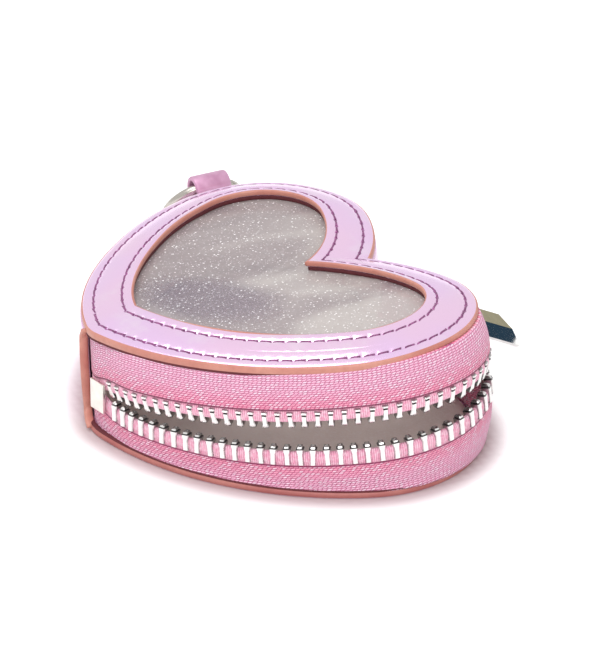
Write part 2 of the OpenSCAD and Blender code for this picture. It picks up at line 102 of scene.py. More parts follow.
def heartAt(s, inset):
    # Point at distance s from the heart's point, measured on the outline itself, on the line drawn in by
    # inset: centre of its arc plus (radius - inset) in a direction that runs evenly from the arc's start to
    # its end, and the last arc ends where x is zero. Negative s is the mirrored half, and s past the cleft
    # runs on down the other half. Result is (x, y) and the direction of the outward normal.
    s, inset = np.broadcast_arrays(np.asarray(s, float), np.asarray(inset, float))
    marks = np.concatenate([[0], np.cumsum(arcLengths)])
    away = np.abs(s)
    past = away > halfLength
    mirrored = (s < 0) ^ past
    away = np.where(past, 2 * halfLength - away, away)
    k = np.clip(np.searchsorted(marks, away, side="right") - 1, 0, 3)
    share = (away - marks[k]) / arcLengths[k]
    end = np.where(k == 3, np.arccos(-arcCentres[3, 0] / (arcRadii[3] - inset)), arcEnds[k])
    angle = arcStarts[k] * (1 - share) + end * share
    points = arcCentres[k] + (arcRadii[k] - inset)[..., None] * np.stack([np.cos(angle), np.sin(angle)], -1)
    flip = np.where(mirrored, -1.0, 1.0)
    return points * np.stack([flip, np.ones_like(flip)], -1), np.where(mirrored, np.pi - angle, angle)


def loopSteps(steps):
    # distances for the whole outline: up the right half, then down its mirror image
    s = np.linspace(0, halfLength, steps)
    return np.concatenate([s, -s[-2:0:-1]])


def lineLengths(points):
    # running distance along a row of points
    return np.concatenate([[0], np.cumsum(np.linalg.norm(np.diff(points, axis=0), axis=1))])


def smooth(low, high, x):
    # 0 up to low, 1 from high on, and a smooth step between
    t = np.clip((x - low) / (high - low), 0, 1)
    return t * t * (3 - 2 * t)


def hill(x, middle, width):
    # a bell of height 1 at the middle
    return np.exp(-((x - middle) / width) ** 2)


def allRound(steps):
    return np.linspace(0, 2 * np.pi, steps, endpoint=False)


def settle(points, window=0.0):
    # the settled cover: a sum of smooth hills, each over one region; window is 1 at the window's edge
    x, y = points[..., 0], points[..., 1]
    side = smooth(0, 30 * mm, -x) * hill(y, -8 * mm, 16 * mm)
    shoulder = smooth(5 * mm, 40 * mm, -x) * hill(y, 20 * mm, 14 * mm)
    near = smooth(5 * mm, 42 * mm, x) * hill(y, 5 * mm, 22 * mm)
    cleft = hill(x, 0, 16 * mm) * smooth(5 * mm, 25 * mm, y)
    lobe = smooth(0, 30 * mm, x) * smooth(10 * mm, 32 * mm, y)
    dy = (settling["sideY"] * side + settling["nearY"] * near + settling["lobeY"] * lobe
          + settling["windowY"] * window)
    dz = (settling["sideZ"] * side + settling["shoulderZ"] * shoulder + settling["cleftZ"] * cleft
          + settling["lobeZ"] * lobe)
    return np.stack([0 * dy, dy, dz], -1)


coverTurn = np.array(Matrix.Rotation(-cover["riseX"], 3, "Y") @ Matrix.Rotation(cover["riseY"], 3, "X"))


def onCover(points, window=0.0):
    # settled, then turned by the cover's two slopes and lifted to its height
    moved = points + settle(points, window)
    return moved @ coverTurn.T + np.array([0, 0, cover["height"]])


def coverTop(points):
    # height of the cover's edge over a place
    x, y, z = coverTurn[:, 2]
    return cover["height"] - (x * points[..., 0] + y * points[..., 1]) / z + settle(points)[..., 2]


# Where the cover lifts, and how the zip runs: heights at the point, then slopes along x and y
zipper = dict(liftTipX=6.5 * mm, liftLobeAngle=math.radians(79), pitch=2.56 * mm, head=1.7 * mm, leg=2.2 * mm,
              tapeMid=0.7 * mm, sliderAngle=math.radians(98), sliderLength=9 * mm, point=-34.5 * mm,
              height=9.1 * mm, riseX=0.05, riseY=0.065, gapEnd=0.2 * mm, gapSlope=0.149,
              sliderHeight=9.8 * mm, sliderRiseX=math.tan(math.radians(2.9)),
              sliderRiseY=math.tan(math.radians(1.7)), sliderGap=2 * mm, closedGap=-1.4 * mm,
              easeFrom=math.radians(58), easeTo=math.radians(86), bendWidth=7 * mm)


def sideArcAt(x):
    # distance along the outline to the place x on the long side
    turn = -math.acos((x - sideCentre[0]) / arcRadii[1]) - arcStarts[1]
    return arcLengths[0] + arcRadii[1] * turn


def lobeArcAt(angle):
    return arcLengths[:2].sum() + arcRadii[2] * (angle - arcStarts[2])


def lobeDirection(points):
    return np.arctan2(points[..., 1] - lobeCentre[1], points[..., 0] - lobeCentre[0])


def nearSlider(points):
    # 0 where the photograph shows the zip, 1 where it runs into the slider on the lobe
    return smooth(zipper["easeFrom"], zipper["easeTo"], lobeDirection(points)) * (points[..., 0] > 0)


liftA = heartAt(sideArcAt(zipper["liftTipX"]), zipper["tapeMid"])[0]
liftB = heartAt(lobeArcAt(zipper["liftLobeAngle"]), zipper["tapeMid"])[0]
liftAlong = (liftB - liftA) / np.linalg.norm(liftB - liftA)
liftAcross = np.array([liftAlong[1], -liftAlong[0]])


def liftSide(points):
    # distance from the lift line, growing towards the side that opens
    return (points - liftA) @ liftAcross


# teeth are counted along the tape's middle line, and then read as distances on the outline
denseS = np.linspace(0, halfLength, 4000)
tapeLength = lineLengths(heartAt(denseS, zipper["tapeMid"])[0])


def onTape(s):
    return np.interp(s, denseS, tapeLength)


firstTooth = onTape(sideArcAt(zipper["liftTipX"])) + zipper["pitch"] / 2
meshNear = onTape(lobeArcAt(zipper["sliderAngle"] - zipper["sliderLength"] / 4 / heart["lobeRadius"]))
meshStart = firstTooth + (math.floor((meshNear - firstTooth) / zipper["pitch"]) + 0.25) * zipper["pitch"]
meshStart = float(np.interp(meshStart, tapeLength, denseS))
print("rows meet at", round(math.degrees((meshStart - arcLengths[:2].sum()) / arcRadii[2] + arcStarts[2]), 2))


def plane(points, height, riseX, riseY):
    # height at the heart's point plus a slope along x and one along y
    return height + riseX * points[..., 0] + riseY * (points[..., 1] - zipper["point"])


def zipMiddle(points):
    # height of the zip's middle: climbs towards its own side and the lobes, and eases down to the slider
    near = nearSlider(points)
    seen = plane(points, zipper["height"], zipper["riseX"], zipper["riseY"])
    return seen * (1 - near) + plane(points, zipper["sliderHeight"], zipper["sliderRiseX"],
                                     zipper["sliderRiseY"]) * near


def zipGap(points, s):
    # gap between the two rows: grows with the distance from the lift line, and closes inside the slider
    opened = np.maximum(zipper["gapEnd"] + zipper["gapSlope"] * liftSide(points), zipper["gapEnd"])
    near = nearSlider(points)
    opened = opened * (1 - near) + zipper["sliderGap"] * near
    closing = smooth(meshStart - 2.5 * mm, meshStart + 0.5 * mm, s)
    return opened * (1 - closing) + zipper["closedGap"] * closing


# The walls lean from the cover to a base that lies a little nearer the zip's side, and the zip bulges
walls = dict(leanX=1.5 * mm, leanY=0.65 * mm, foot=0.25 * mm, climb=0.35 * mm, bulgeSide=1.15 * mm,
             bulgeLobe=3.1 * mm, flare=0.9 * mm, flareShare=0.05, tuck=0.2 * mm, archPower=2.8,
             archRound=0.52, holdFrom=math.radians(120), holdTo=math.radians(147),
             lobeFrom=math.radians(-25), lobeTo=math.radians(40), lobeX=20 * mm)


def leaned(s, z, inset):
    # outline drawn in by inset, moved by the base's shift at the foot and by the cover's settling at the top
    base = heartAt(s, 0.0)[0]
    v = np.clip(z / coverTop(base), 0, 1)
    before = 1 - smooth(walls["holdFrom"], walls["holdTo"], lobeDirection(base))
    hold = nearSlider(base) * before * np.sin(np.pi * v)
    shift = np.array([walls["leanX"], walls["leanY"]]) * ((1 - v) * (1 - hold))[..., None]
    shift = shift + settle(base)[..., :2] * (v * (1 - hold))[..., None]
    points, angle = heartAt(s, inset)
    return np.concatenate([points + shift, np.broadcast_to(z, points.shape[:-1])[..., None]], -1), angle


def zipWall(s, z, inset):
    # the tapes' outer face: nearly upright where it is held, bulging between as a flattened arch
    base = heartAt(s, 0.0)[0]
    v = np.clip(z / coverTop(base), 0, 1)
    arch = np.clip(1 - np.abs(2 * v - 1) ** walls["archPower"], 0, 1) ** walls["archRound"]
    onLobe = smooth(walls["lobeFrom"], walls["lobeTo"], lobeDirection(base)) * (base[..., 0] > walls["lobeX"])
    bulge = walls["bulgeSide"] * smooth(1 * mm, 13 * mm, s) * (1 - onLobe) + walls["bulgeLobe"] * onLobe
    bulge = bulge * (1 - nearSlider(base)) * arch
    tucked = walls["tuck"] * (1 - smooth(-3 * mm, 2 * mm, s))
    flare = walls["flare"] * hill(v, 0, walls["flareShare"]) * smooth(0, 6 * mm, s)
    return leaned(s, z, inset + walls["foot"] + walls["climb"] * v - bulge - flare + tucked)


# Meshes from grids

def unit(vectors):
    return vectors / np.linalg.norm(vectors, axis=-1)[..., None]


def linked(name, data):
    made = bpy.data.objects.new(name, data)
    bpy.context.scene.collection.objects.link(made)
    return made


def addObject(name, mesh, body, replaced, material):
    # the piece rides on its body; without one its placing is baked into its mesh, as for the cover, which is
    # one skin across the lift line
    piece = linked(name, mesh)
    mesh.materials.append(material)
    if body:
        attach(piece, body)
    else:
        middle, half = (liftA + liftB) / 2, liftAcross * zipper["bendWidth"] / 2
        start = (*(middle - half), cover["height"])
        end = (*(middle + half), cover["height"])
        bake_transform(piece)
    if replaced:
        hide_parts(*replaced)
    return piece


def meshFrom(name, points, faces, pathUv=None, sharpAngle=None, outward=True):
    mesh = bpy.data.meshes.new(name)
    mesh.from_pydata(points.reshape(-1, 3).tolist(), [], faces)
    if pathUv is not None:
        layer = mesh.uv_layers.new(name="path")
        layer.data.foreach_set("uv", np.asarray(pathUv, np.float32).ravel())
    mesh.validate()
    if outward:
        work = bmesh.new()
        work.from_mesh(mesh)
        bmesh.ops.recalc_face_normals(work, faces=work.faces)
        work.to_mesh(mesh)
        work.free()
    mesh.shade_smooth()
    if sharpAngle:
        mesh.set_sharp_from_angle(angle=math.radians(sharpAngle))
    mesh.update()
    return mesh


def gridFaces(n, m, wrapN, wrapM):
    # quads between neighbouring rows and columns of an n by m grid, wrapped where asked, and their corners
    i, j = np.meshgrid(np.arange(n if wrapN else n - 1), np.arange(m if wrapM else m - 1), indexing="ij")
    corners = [np.stack(pair, -1) for pair in ((i, j), (i + 1, j), (i + 1, j + 1), (i, j + 1))]
    corners = np.stack(corners, -2).reshape(-1, 4, 2)
    return (corners[..., 0] % n * m + corners[..., 1] % m).tolist(), corners


def capFaces(n, m):
    return [list(range(m)), list(range((n - 1) * m, n * m))[::-1]]


def sweptMesh(name, grid, across, along, closed=True):
    # grid (n, m, 3) of a closed profile carried along a path that closes or is capped at both ends; path UV
    # is (along, across) in millimetres
    n, m = grid.shape[:2]
    faces, corners = gridFaces(n, m, closed, True)
    across = np.broadcast_to(across, (n, m))
    along = np.append(along, 2 * along[-1] - along[-2])
    row, column = corners[..., 0], corners[..., 1]
    uv = np.stack([along[row], across[row % n, np.minimum(column, m - 1)]], -1).reshape(-1, 2)
    if not closed:
        faces += capFaces(n, m)
        uv = np.concatenate([uv, np.stack([np.full(2 * m, along[0]), np.r_[across[0], across[0][::-1]]], -1)])
    return meshFrom(name, grid, faces, uv / mm)


def plateMesh(name, outline, rings, height, thickness, sharpAngle=None, moved=lambda points: points):
    # closed plate: rings of the outline shrunk to its middle on both faces, height(x, y) over the top one
    n, count = len(outline), 2 * rings
    flat = outline[None] * np.linspace(1, 0, rings + 1)[:-1, None, None]
    top = np.dstack([flat, height(flat[..., 0], flat[..., 1])])
    middle = np.array([[0, 0, float(height(np.zeros(1), np.zeros(1))[0])]])
    down = np.array([0, 0, thickness])
    points = np.concatenate([(top - down)[::-1].reshape(-1, 3), top.reshape(-1, 3), middle, middle - down])
    faces = gridFaces(count, n, False, True)[0]
    faces += [[(count - 1) * n + j, (count - 1) * n + (j + 1) % n, count * n] for j in range(n)]
    faces += [[(j + 1) % n, j, count * n + 1] for j in range(n)]
    return meshFrom(name, moved(points), faces, sharpAngle=sharpAngle)


# Socket maths and nodes

class Wire:
    # one output of a node; arithmetic on it adds Math nodes
    def __init__(self, paint, socket):
        self.paint = paint
        self.socket = socket

    def math(self, operation, *others):
        return self.paint.add("ShaderNodeMath", {"operation": operation}, dict(enumerate((self,) + others)))

    def flip(self, operation, other):
        return self.paint.add("ShaderNodeMath", {"operation": operation}, {0: other, 1: self})

    def __add__(self, other): return self.math("ADD", other)
    def __radd__(self, other): return self.math("ADD", other)
    def __sub__(self, other): return self.math("SUBTRACT", other)
    def __rsub__(self, other): return self.flip("SUBTRACT", other)
    def __mul__(self, other): return self.math("MULTIPLY", other)
    def __rmul__(self, other): return self.math("MULTIPLY", other)
    def __truediv__(self, other): return self.math("DIVIDE", other)
    def __rtruediv__(self, other): return self.flip("DIVIDE", other)
    def __pow__(self, other): return self.math("POWER", other)
    def __gt__(self, other): return self.math("GREATER_THAN", other)
    def __lt__(self, other): return self.math("LESS_THAN", other)


class Paint:
    # a material whose nodes are added one call at a time; textures read the object's own coordinates
    def __init__(self, name):
        self.material = bpy.data.materials.new(name)
        self.material.use_nodes = True
        self.tree = self.material.node_tree
        self.tree.nodes.clear()
        self.place = self.add("ShaderNodeTexCoord", out=3)

    def add(self, kind, settings=None, values=None, out=0):
        node = self.tree.nodes.new(kind)
        for key, value in (settings or {}).items():
            setattr(node, key, value)
        for key, value in (values or {}).items():
            if isinstance(value, Wire):
                self.tree.links.new(value.socket, node.inputs[key])
            else:
                node.inputs[key].default_value = value
        return Wire(self, node.outputs[out]) if len(node.outputs) else None

    def path(self):
        return self.add("ShaderNodeUVMap", {"uv_map": "path"})

    def outputs(self, wire):
        return {socket.name: Wire(self, socket) for socket in wire.socket.node.outputs}

    def parts(self, vector):
        return list(self.outputs(self.add("ShaderNodeSeparateXYZ", None, {0: vector})).values())

    def scaled(self, scale, turn=0.0):
        return self.add("ShaderNodeMapping", None, {0: self.place, "Scale": scale, "Rotation": (0, 0, turn)})

    def noise(self, scale, detail=2.0, rough=0.5, distortion=0.0, at=None):
        values = {"Scale": scale, "Detail": detail, "Roughness": rough, "Distortion": distortion}
        return self.add("ShaderNodeTexNoise", None, {"Vector": at or self.place, **values})

    def cells(self, scale, at=None, out=0):
        return self.add("ShaderNodeTexVoronoi", None, {"Vector": at or self.place, "Scale": scale}, out)

    def chance(self, dimensions, values):
        return self.add("ShaderNodeTexWhiteNoise", {"noise_dimensions": dimensions}, values)

    def remap(self, value, low, high, newLow=0.0, newHigh=1.0):
        return self.add("ShaderNodeMapRange", {"interpolation_type": "SMOOTHSTEP"},
                        {0: value, 1: low, 2: high, 3: newLow, 4: newHigh})

    def blend(self, share, a, b):
        a, b = ((*c, 1) if isinstance(c, tuple) else c for c in (a, b))
        return self.add("ShaderNodeMix", {"data_type": "RGBA"}, {0: share, 6: a, 7: b}, out=2)

    def bump(self, height, distance, strength=1.0, normal=None):
        values = {"Height": height, "Distance": distance, "Strength": strength}
        return self.add("ShaderNodeBump", None, {**values, "Normal": normal} if normal else values)

    def surface(self, values):
        return self.finish(self.add("ShaderNodeBsdfPrincipled", None, values))

    def finish(self, shader):
        self.add("ShaderNodeOutputMaterial", None, {0: shader})
        return self.material


# Materials

# the foil's tints and roughness; deep is the darker pink of the painted shade on the walls' copy
leather = dict(pink=(1.0, 0.69, 0.93), lilac=(0.95, 0.67, 1.0), pale=(1.0, 0.86, 0.98),
               deep=(0.82, 0.42, 0.66), rough=0.17, grain=0.018 * mm)


def foilLeather(name, depth=0.0, metal=0.86):
    # pearl foil on leather: a tint that drifts from pink to lilac, soft creases and a fine grain
    p = Paint(name)
    tint = p.blend(p.remap(p.noise(42), 0.36, 0.64, 0.1, 0.8), leather["pink"], leather["lilac"])
    tint = p.blend(p.remap(p.noise(120, 3, 0.6), 0.50, 0.72, 0.0, 0.45), tint, leather["pale"])
    # depth turns the whole tint towards deep pink: a painted shade, used for the walls
    tint = p.blend(depth, tint, leather["deep"])
    fine = p.noise(2600, 3, 0.6)
    soft = p.bump(p.noise(150, 2, 0.45, 0.4), 0.30 * mm, 0.5)
    grain = p.bump(fine * 0.5 + p.cells(1500) * 0.4, leather["grain"], 0.5, soft)
    return p.surface({"Base Color": tint, "Roughness": leather["rough"] + fine * 0.12, "Normal": grain,
                      "Metallic": metal, "Coat Weight": 0.35, "Coat Roughness": 0.09})


def twoTone(name, grain, bump, tones, rough, drift=None, spread=(0.3, 0.7), flecks=None, fixed=None):
    # a plain surface: two tones shared out by a broad drift, or by the grain where there is none, a third
    # tone in flecks of the grain, and the grain's bump; rough is a level, or a level and what the grain adds
    p = Paint(name)
    fine = p.noise(*grain)
    share = p.noise(*drift) if drift else fine
    tint = p.blend(p.remap(share, *spread) if spread else share, *tones)
    if flecks:
        tint = p.blend(p.remap(fine, *flecks[0]), tint, flecks[1])
    rough = rough if isinstance(rough, float) else rough[0] + fine * rough[1]
    return p.surface({"Base Color": tint, "Roughness": rough, "Normal": p.bump(fine, *bump), **(fixed or {})})


def edgePaint(name, low, high):
    # satin coral edge paint over the raw layers: paler orange and redder in broad patches, with darker flecks
    return twoTone(name, (900, 3, 0.6), (0.03 * mm, 0.4), (low, high), (0.38, 0.15), (90, 2, 0.5),
                   flecks=((0.35, 0.75, 0.0, 0.3), tuple(c * 0.75 for c in low)),
                   fixed={"Specular IOR Level": 0.5, "Coat Weight": 0.12, "Coat Roughness": 0.25})


weave = dict(length=0.90, width=0.46, wander=0.20, cord=2.15, edge=2.3, rib=0.42)


def wovenTape(name, lean):
    # woven tape: rows of short raised floats, each row shifted by half a float, so that the dark gaps between
    # them run slanting;
    # the gaps' dark is painted shade and the floats' pale tops painted highlight; past the tape's edge comes
    # the paler cord
    p = Paint(name)
    u, v, _ = p.parts(p.path())
    wander = (p.noise(700) - 0.5) * weave["wander"]
    row = (v + wander) / weave["width"]
    rowNumber = row.math("FLOOR")
    jog = p.chance("1D", {"W": rowNumber})
    column = (u + wander * 1.5) / weave["length"] - row * (0.5 * lean) + jog * 0.55
    columnNumber = column.math("FLOOR")
    across = ((row - rowNumber) - 0.5).math("ABSOLUTE") * 2
    along = ((column - columnNumber) - 0.5).math("ABSOLUTE") * 2
    raised = (1 - across ** 2.0) * (1 - along ** 3.2)
    chance = p.chance("3D", {"Vector": p.add("ShaderNodeCombineXYZ", None, {0: rowNumber, 1: columnNumber})})
    fine = p.noise(1500)
    # paler away from the teeth, towards the held edge: a painted highlight
    near = p.remap(v, 2.0, 7.0, 1.0, 0.0)
    light = p.blend(near, (0.96, 0.52, 0.71), (0.96, 0.34, 0.50))
    deep = p.blend(near, (0.83, 0.22, 0.40), (0.79, 0.11, 0.25))
    # deeper in the gaps and paler on the floats, by their height: painted shade and painted highlight
    tint = p.blend(p.remap(raised, 0.12, 0.66), deep, light)
    # paler still on the tops of floats chosen by chance: a painted highlight
    floatHighlight = p.remap(chance * 0.7 + fine * 0.4, 0.55, 0.82) * p.remap(raised, 0.35, 0.8)
    tint = p.blend(floatHighlight * 0.7, tint, (1.0, 0.80, 0.92))
    # darker still in the gaps, more in some than in others: painted shade
    dark = p.remap(raised, 0.0, 0.26, 1.0, 0.0)
    dark = dark * p.remap(chance + p.noise(130, 3, 0.6) * 0.5, 0.35, 0.9, 0.35, 1.0)
    tint = p.blend(dark, tint, (0.36, 0.07, 0.21))
    # the cord between the teeth, darker between its ribs as painted shade, with a dark line where the woven
    # tape ends
    rib = u / weave["rib"]
    ribs = (rib - rib.math("FLOOR") - 0.5).math("ABSOLUTE") * 2
    cordTint = p.blend(p.remap(fine, 0.3, 0.7), (0.90, 0.36, 0.52), (0.97, 0.60, 0.72))
    cordTint = p.blend(p.remap(ribs, 0.7, 1.0, 0.0, 0.35), cordTint, (0.60, 0.12, 0.24))
    onCord = (v < weave["cord"]) * (v > -4.0)
    line = p.remap((v - weave["edge"]).math("ABSOLUTE"), 0.10, 0.28, 1.0, 0.0)
    tint = p.blend(line * 0.9, p.blend(onCord, tint, cordTint), (0.30, 0.03, 0.11))
    height = raised * (1 - onCord) + onCord * (1 - ribs ** 3.0) * 0.6 + fine * 0.22
    return p.surface({"Base Color": tint, "Normal": p.bump(height, 0.20 * mm), "Roughness": 0.55,
                      "Sheen Weight": 0.2, "Sheen Roughness": 0.35, "Specular IOR Level": 0.4})


# the film's painted tones, light and dark waves and the lilac patch of painted shade, that patch's place,
# turn and size, then the film's own sizes
film = dict(light=(0.76, 0.71, 0.69), dark=(0.46, 0.40, 0.42), lilac=(0.27, 0.22, 0.29), speckPitch=1.15 * mm,
            height=0.30 * mm, clear=0.43, patch=(2 * mm, -10 * mm, 0), patchTurn=math.radians(35),
            patchSize=(15 * mm, 9 * mm, 1), overlap=1.6 * mm, thickness=0.35 * mm, rings=34, reachX=34 * mm,
            reachY=26 * mm, middleY=2 * mm, sag=0.15 * mm, wave=0.32 * mm)


def glitterFilm(name):
    # clear film: broad waves of light and dark painted as reflection and as the inside seen through it, a
    # dark lilac patch of painted shade, and bright flakes scattered through it
    p = Paint(name)
    waves = p.noise(40, 3, 0.5, 1.1, p.scaled((1.0, 0.55, 1.0), 0.5))
    lobes = p.noise(24, 2, 0.5, 0.6)
    # broad waves of painted reflection and painted shade
    tint = p.blend(p.remap(waves, 0.34, 0.60), film["dark"], film["light"])
    # a soft dark lilac patch: painted shade of the inside seen through the film
    across, along, _ = p.parts(p.add("ShaderNodeMapping", {"vector_type": "TEXTURE"}, {
        0: p.place, "Location": film["patch"], "Rotation": (0, 0, film["patchTurn"]),
        "Scale": film["patchSize"]}))
    reach = (across * across + along * along + lobes * 0.5) ** 0.5
    tint = p.blend(p.remap(reach, 0.70, 1.40, 0.90, 0.0), tint, film["lilac"])
    tint = p.blend(p.remap(p.noise(1500, 2, 0.6), 0.52, 0.72, 0.0, 0.35), tint, (0.86, 0.84, 0.85))
    flakes = None
    for scale, turn, size, share, strength in [(1.0, 0.0, 0.19, 0.15, 1.0), (1.45, 0.7, 0.20, 0.35, 0.95),
                                               (2.3, 1.9, 0.24, 0.45, 0.6)]:
        turned = p.scaled((1, 1, 1), turn)
        near = p.cells(scale / film["speckPitch"], turned)
        chance = p.parts(p.cells(scale / film["speckPitch"], turned, 1))[0]
        spots = p.remap(near, size * 0.6, size, strength, 0.0) * (chance > share)
        flakes = spots if flakes is None else flakes.math("MAXIMUM", spots)
    return p.surface({"Base Color": p.blend(flakes, tint, (1.0, 0.98, 1.0)),
                      "Roughness": 0.30 - flakes * 0.12,
                      "Normal": p.bump(p.noise(60), 0.8 * mm, 0.35),
                      "Alpha": film["clear"] + flakes * (1 - film["clear"]),
                      "Coat Weight": 0.35, "Coat Roughness": 0.12, "IOR": 1.5})


def nickel(name, colour=(0.93, 0.92, 0.90), rough=0.12):
    # bright plating with faint wear and drawn lines
    p = Paint(name)
    wear = p.noise(420, 4, 0.6)
    tint = p.blend(p.remap(wear, 0.3, 0.75), colour, tuple(c * 0.88 for c in colour))
    drawn = p.bump(p.noise(900, at=p.scaled((1, 1, 12))), 0.006 * mm, 0.3)
    return p.surface({"Base Color": tint, "Roughness": rough + wear * 0.10, "Normal": drawn, "Metallic": 1.0})


def toothMetal(name):
    # painted shade read from the path map: bright on the front faces, dull and dark on the sides and in the
    # dips, broken up a little by random wear
    p = Paint(name)
    paintedShade = p.parts(p.path())[0]
    wear = p.noise(1300, 3, 0.6)
    tint = p.blend(p.remap(paintedShade + (wear - 0.5) * 0.25, 0.0, 1.0), (0.09, 0.08, 0.085), (0.97, 0.96, 0.94))
    return p.surface({"Base Color": tint, "Roughness": 0.34 - paintedShade * 0.14 + wear * 0.08,
                      "Normal": p.bump(wear, 0.02 * mm, 0.4), "Metallic": 1.0})


foil = foilLeather("foil_leather")
# the walls' leather is the cover's foil painted half way to deep pink and made less metallic: a painted shade
shadedWallFoil = foilLeather("wall_foil_leather", 0.5, 0.75)
# the tab's leather is the pink foil in darker, duller tones: a painted shade
shadedTabLeather = twoTone("muted_leather", (1800, 3, 0.6), (0.03 * mm, 0.6), ((0.52, 0.25, 0.40), (0.70, 0.40, 0.58)),
                (0.34, 0.18), (180, 3, 0.6), fixed={"Metallic": 0.45, "Coat Weight": 0.15})
coral = edgePaint("coral_edge_paint", (0.52, 0.185, 0.145), (0.62, 0.28, 0.215))
# the base's edge paint is the same coral painted darker and redder: a painted shade
shadedCoral = edgePaint("deep_coral_edge_paint", (0.40, 0.115, 0.105), (0.48, 0.175, 0.15))
# very dark maroon cloth, partly its own colour and partly painted shade, for the dark lines under the edge
# paint
maroonShadeCloth = twoTone("maroon_cloth", (1500, 3, 0.6), (0.05 * mm, 0.6),
                 ((0.075, 0.008, 0.012), (0.16, 0.03, 0.04)), 0.8, spread=None)
mauveThread = twoTone("mauve_thread", (2400, 2, 0.5), (0.03 * mm, 0.6),
                      ((0.16, 0.05, 0.125), (0.352, 0.11, 0.275)), 0.55, spread=(0.35, 0.7))
suede = twoTone("suede_lining", (1800, 4, 0.7), (0.10 * mm, 0.8), ((0.82, 0.70, 0.64), (0.93, 0.81, 0.75)),
                0.9, (90, 3, 0.55), flecks=((0.42, 0.75, 0.0, 0.5), (0.97, 0.91, 0.88)),
                fixed={"Sheen Weight": 0.3})
upperTwill = wovenTape("upper_woven_tape", 1)
lowerTwill = wovenTape("lower_woven_tape", -1)
glitter = glitterFilm("glitter_film")
brightNickel = nickel("bright_nickel")
shadedToothNickel = toothMetal("tooth_nickel")
creamNickel = nickel("cream_nickel", (0.94, 0.91, 0.84), 0.32)
dullNickel = nickel("dull_nickel", (0.60, 0.56, 0.51), 0.20)
mirrorNickel = nickel("mirror_nickel", (0.95, 0.94, 0.92), 0.02)
print("materials made")


# Cover

stitching = dict(outerRow=2.15 * mm, innerRow=7.5 * mm, pitch=2.7 * mm, length=2.15 * mm, width=0.38 * mm,
                 height=0.30 * mm, groove=0.08 * mm, grooveWidth=0.32 * mm, hole=0.18 * mm,
                 holeWidth=0.55 * mm, proud=0.07 * mm, hook=0.9, slant=0.06, turned=0.05, thicker=0.10,
                 longer=0.05, baseInset=-0.25 * mm, baseWidth=0.36 * mm, baseHeight=0.24 * mm,
                 baseProud=0.06 * mm)
slope = cover["dome"] / cover["border"]


def rowOf(inset):
    # true lengths along the line of a row of stitches, at the dense distances, and how many stitches it holds
    lengths = lineLengths(heartAt(denseS, inset)[0])
    return lengths, round(lengths[-1] / stitching["pitch"])


def rowTurns(s, inset):
    # how many stitches lie between the heart's point and the place s; whole numbers are their middles
    lengths, count = rowOf(inset)
    return np.interp(np.abs(s), denseS, lengths) / lengths[-1] * count - 0.5


def borderLift(s, d):
    # height of the border over the edge plane: the dome's slope, pillowed between the two sunk rows, with a
    # groove along each row that dips further where the thread goes down
    outer, inner = stitching["outerRow"], stitching["innerRow"]
    height = slope * d
    edges = (0, outer, inner, cover["border"])
    for start, end, rise, power in zip(edges, edges[1:], cover["pillows"], (0.8, 0.6, 0.8)):
        height = height + rise * np.sin(np.pi * np.clip((d - start) / (end - start), 0, 1)) ** power
    for row in (outer, inner):
        dip = (0.5 - 0.5 * np.cos(2 * np.pi * rowTurns(s, row))) ** 3
        height = height - stitching["groove"] * hill(d, row, stitching["grooveWidth"])
        height = height - stitching["hole"] * dip * hill(d, row, stitching["holeWidth"])
    return height


def buckle(s, d):
    # slow rise and fall along the border; on the near side a fine crease beside a few short slanting ripples
    slow = cover["wave"] * np.sin(s / (9 * mm) + 1.3) * np.sin(s / (23 * mm)) * smooth(0, 3 * mm, d)
    reach = smooth(33 * mm, 42 * mm, s) * (1 - smooth(64 * mm, 76 * mm, s))
    crease = -cover["crease"] * reach * hill(d, cover["creaseAt"], 0.17 * mm)
    ripple = cover["ripple"] * hill(s, cover["rippleAt"], 6 * mm) * hill(d, 5.3 * mm, 1.1 * mm)
    return slow + crease + ripple * np.sin((s + d) / (0.42 * mm))


def coverSweep(name, inset, lift, material, replaced, steps):
    # a closed profile of insets and heights carried round the whole outline
    s = loopSteps(steps)
    line = heartAt(s[:, None], inset[None])[0]
    window = np.clip(inset / cover["border"], 0, 1)[None] + 0 * s[:, None]
    height = lift(s[:, None], inset[None]) + 0 * line[..., 0]
    grid = onCover(np.dstack([line, height]), window)
    mesh = sweptMesh(name, grid, lineLengths(np.stack([inset, height[0]], -1)),
                     np.arange(len(s)) * halfLength / steps)
    addObject(name, mesh, None, replaced, material)


def borderSection(topSteps=56, cornerSteps=5):
    # over the top from edge to window, round two corners, and back underneath: (inset, fall below the top)
    r, low, high = cover["corner"], cover["inside"], cover["border"]
    turn = np.linspace(0, math.pi / 2, cornerSteps)
    fall = r - r * np.cos(turn)
    outer = np.stack([low + r - r * np.sin(turn[::-1]), fall[::-1]], -1)[:-1]
    top = np.stack([np.linspace(low + r, high - r, topSteps), np.zeros(topSteps)], -1)
    inner = np.stack([high - r + r * np.sin(turn), fall], -1)[1:]
    under = np.stack([np.linspace(high, low, 10), np.full(10, cover["thickness"])], -1)
    return np.concatenate([outer, top, inner, under])


section, fallen = borderSection().T
coverSweep("cover_leather", section,
           lambda s, d: np.where(fallen < 0.9 * mm, borderLift(s, d) + buckle(s, d), slope * d) - fallen,
           foil, ["cover_border", "flap_border"], cover["steps"])


def beadProfile(centre, halfDepth, halfHeight, steps=20, power=2.6):
    # superellipse section
    turn = allRound(steps)
    x = np.sign(np.cos(turn)) * np.abs(np.cos(turn)) ** (2 / power)
    z = np.sign(np.sin(turn)) * np.abs(np.sin(turn)) ** (2 / power)
    return np.stack([centre[0] - halfDepth * x, centre[1] + halfHeight * z], -1)


def coverBead(name, profile, material, replaced=()):
    # one section of insets and heights over the cover's plane, the same all the way round
    coverSweep(name, profile[:, 0], lambda s, d: profile[None, :, 1] + 0 * s, material, replaced,
               cover["lineSteps"])


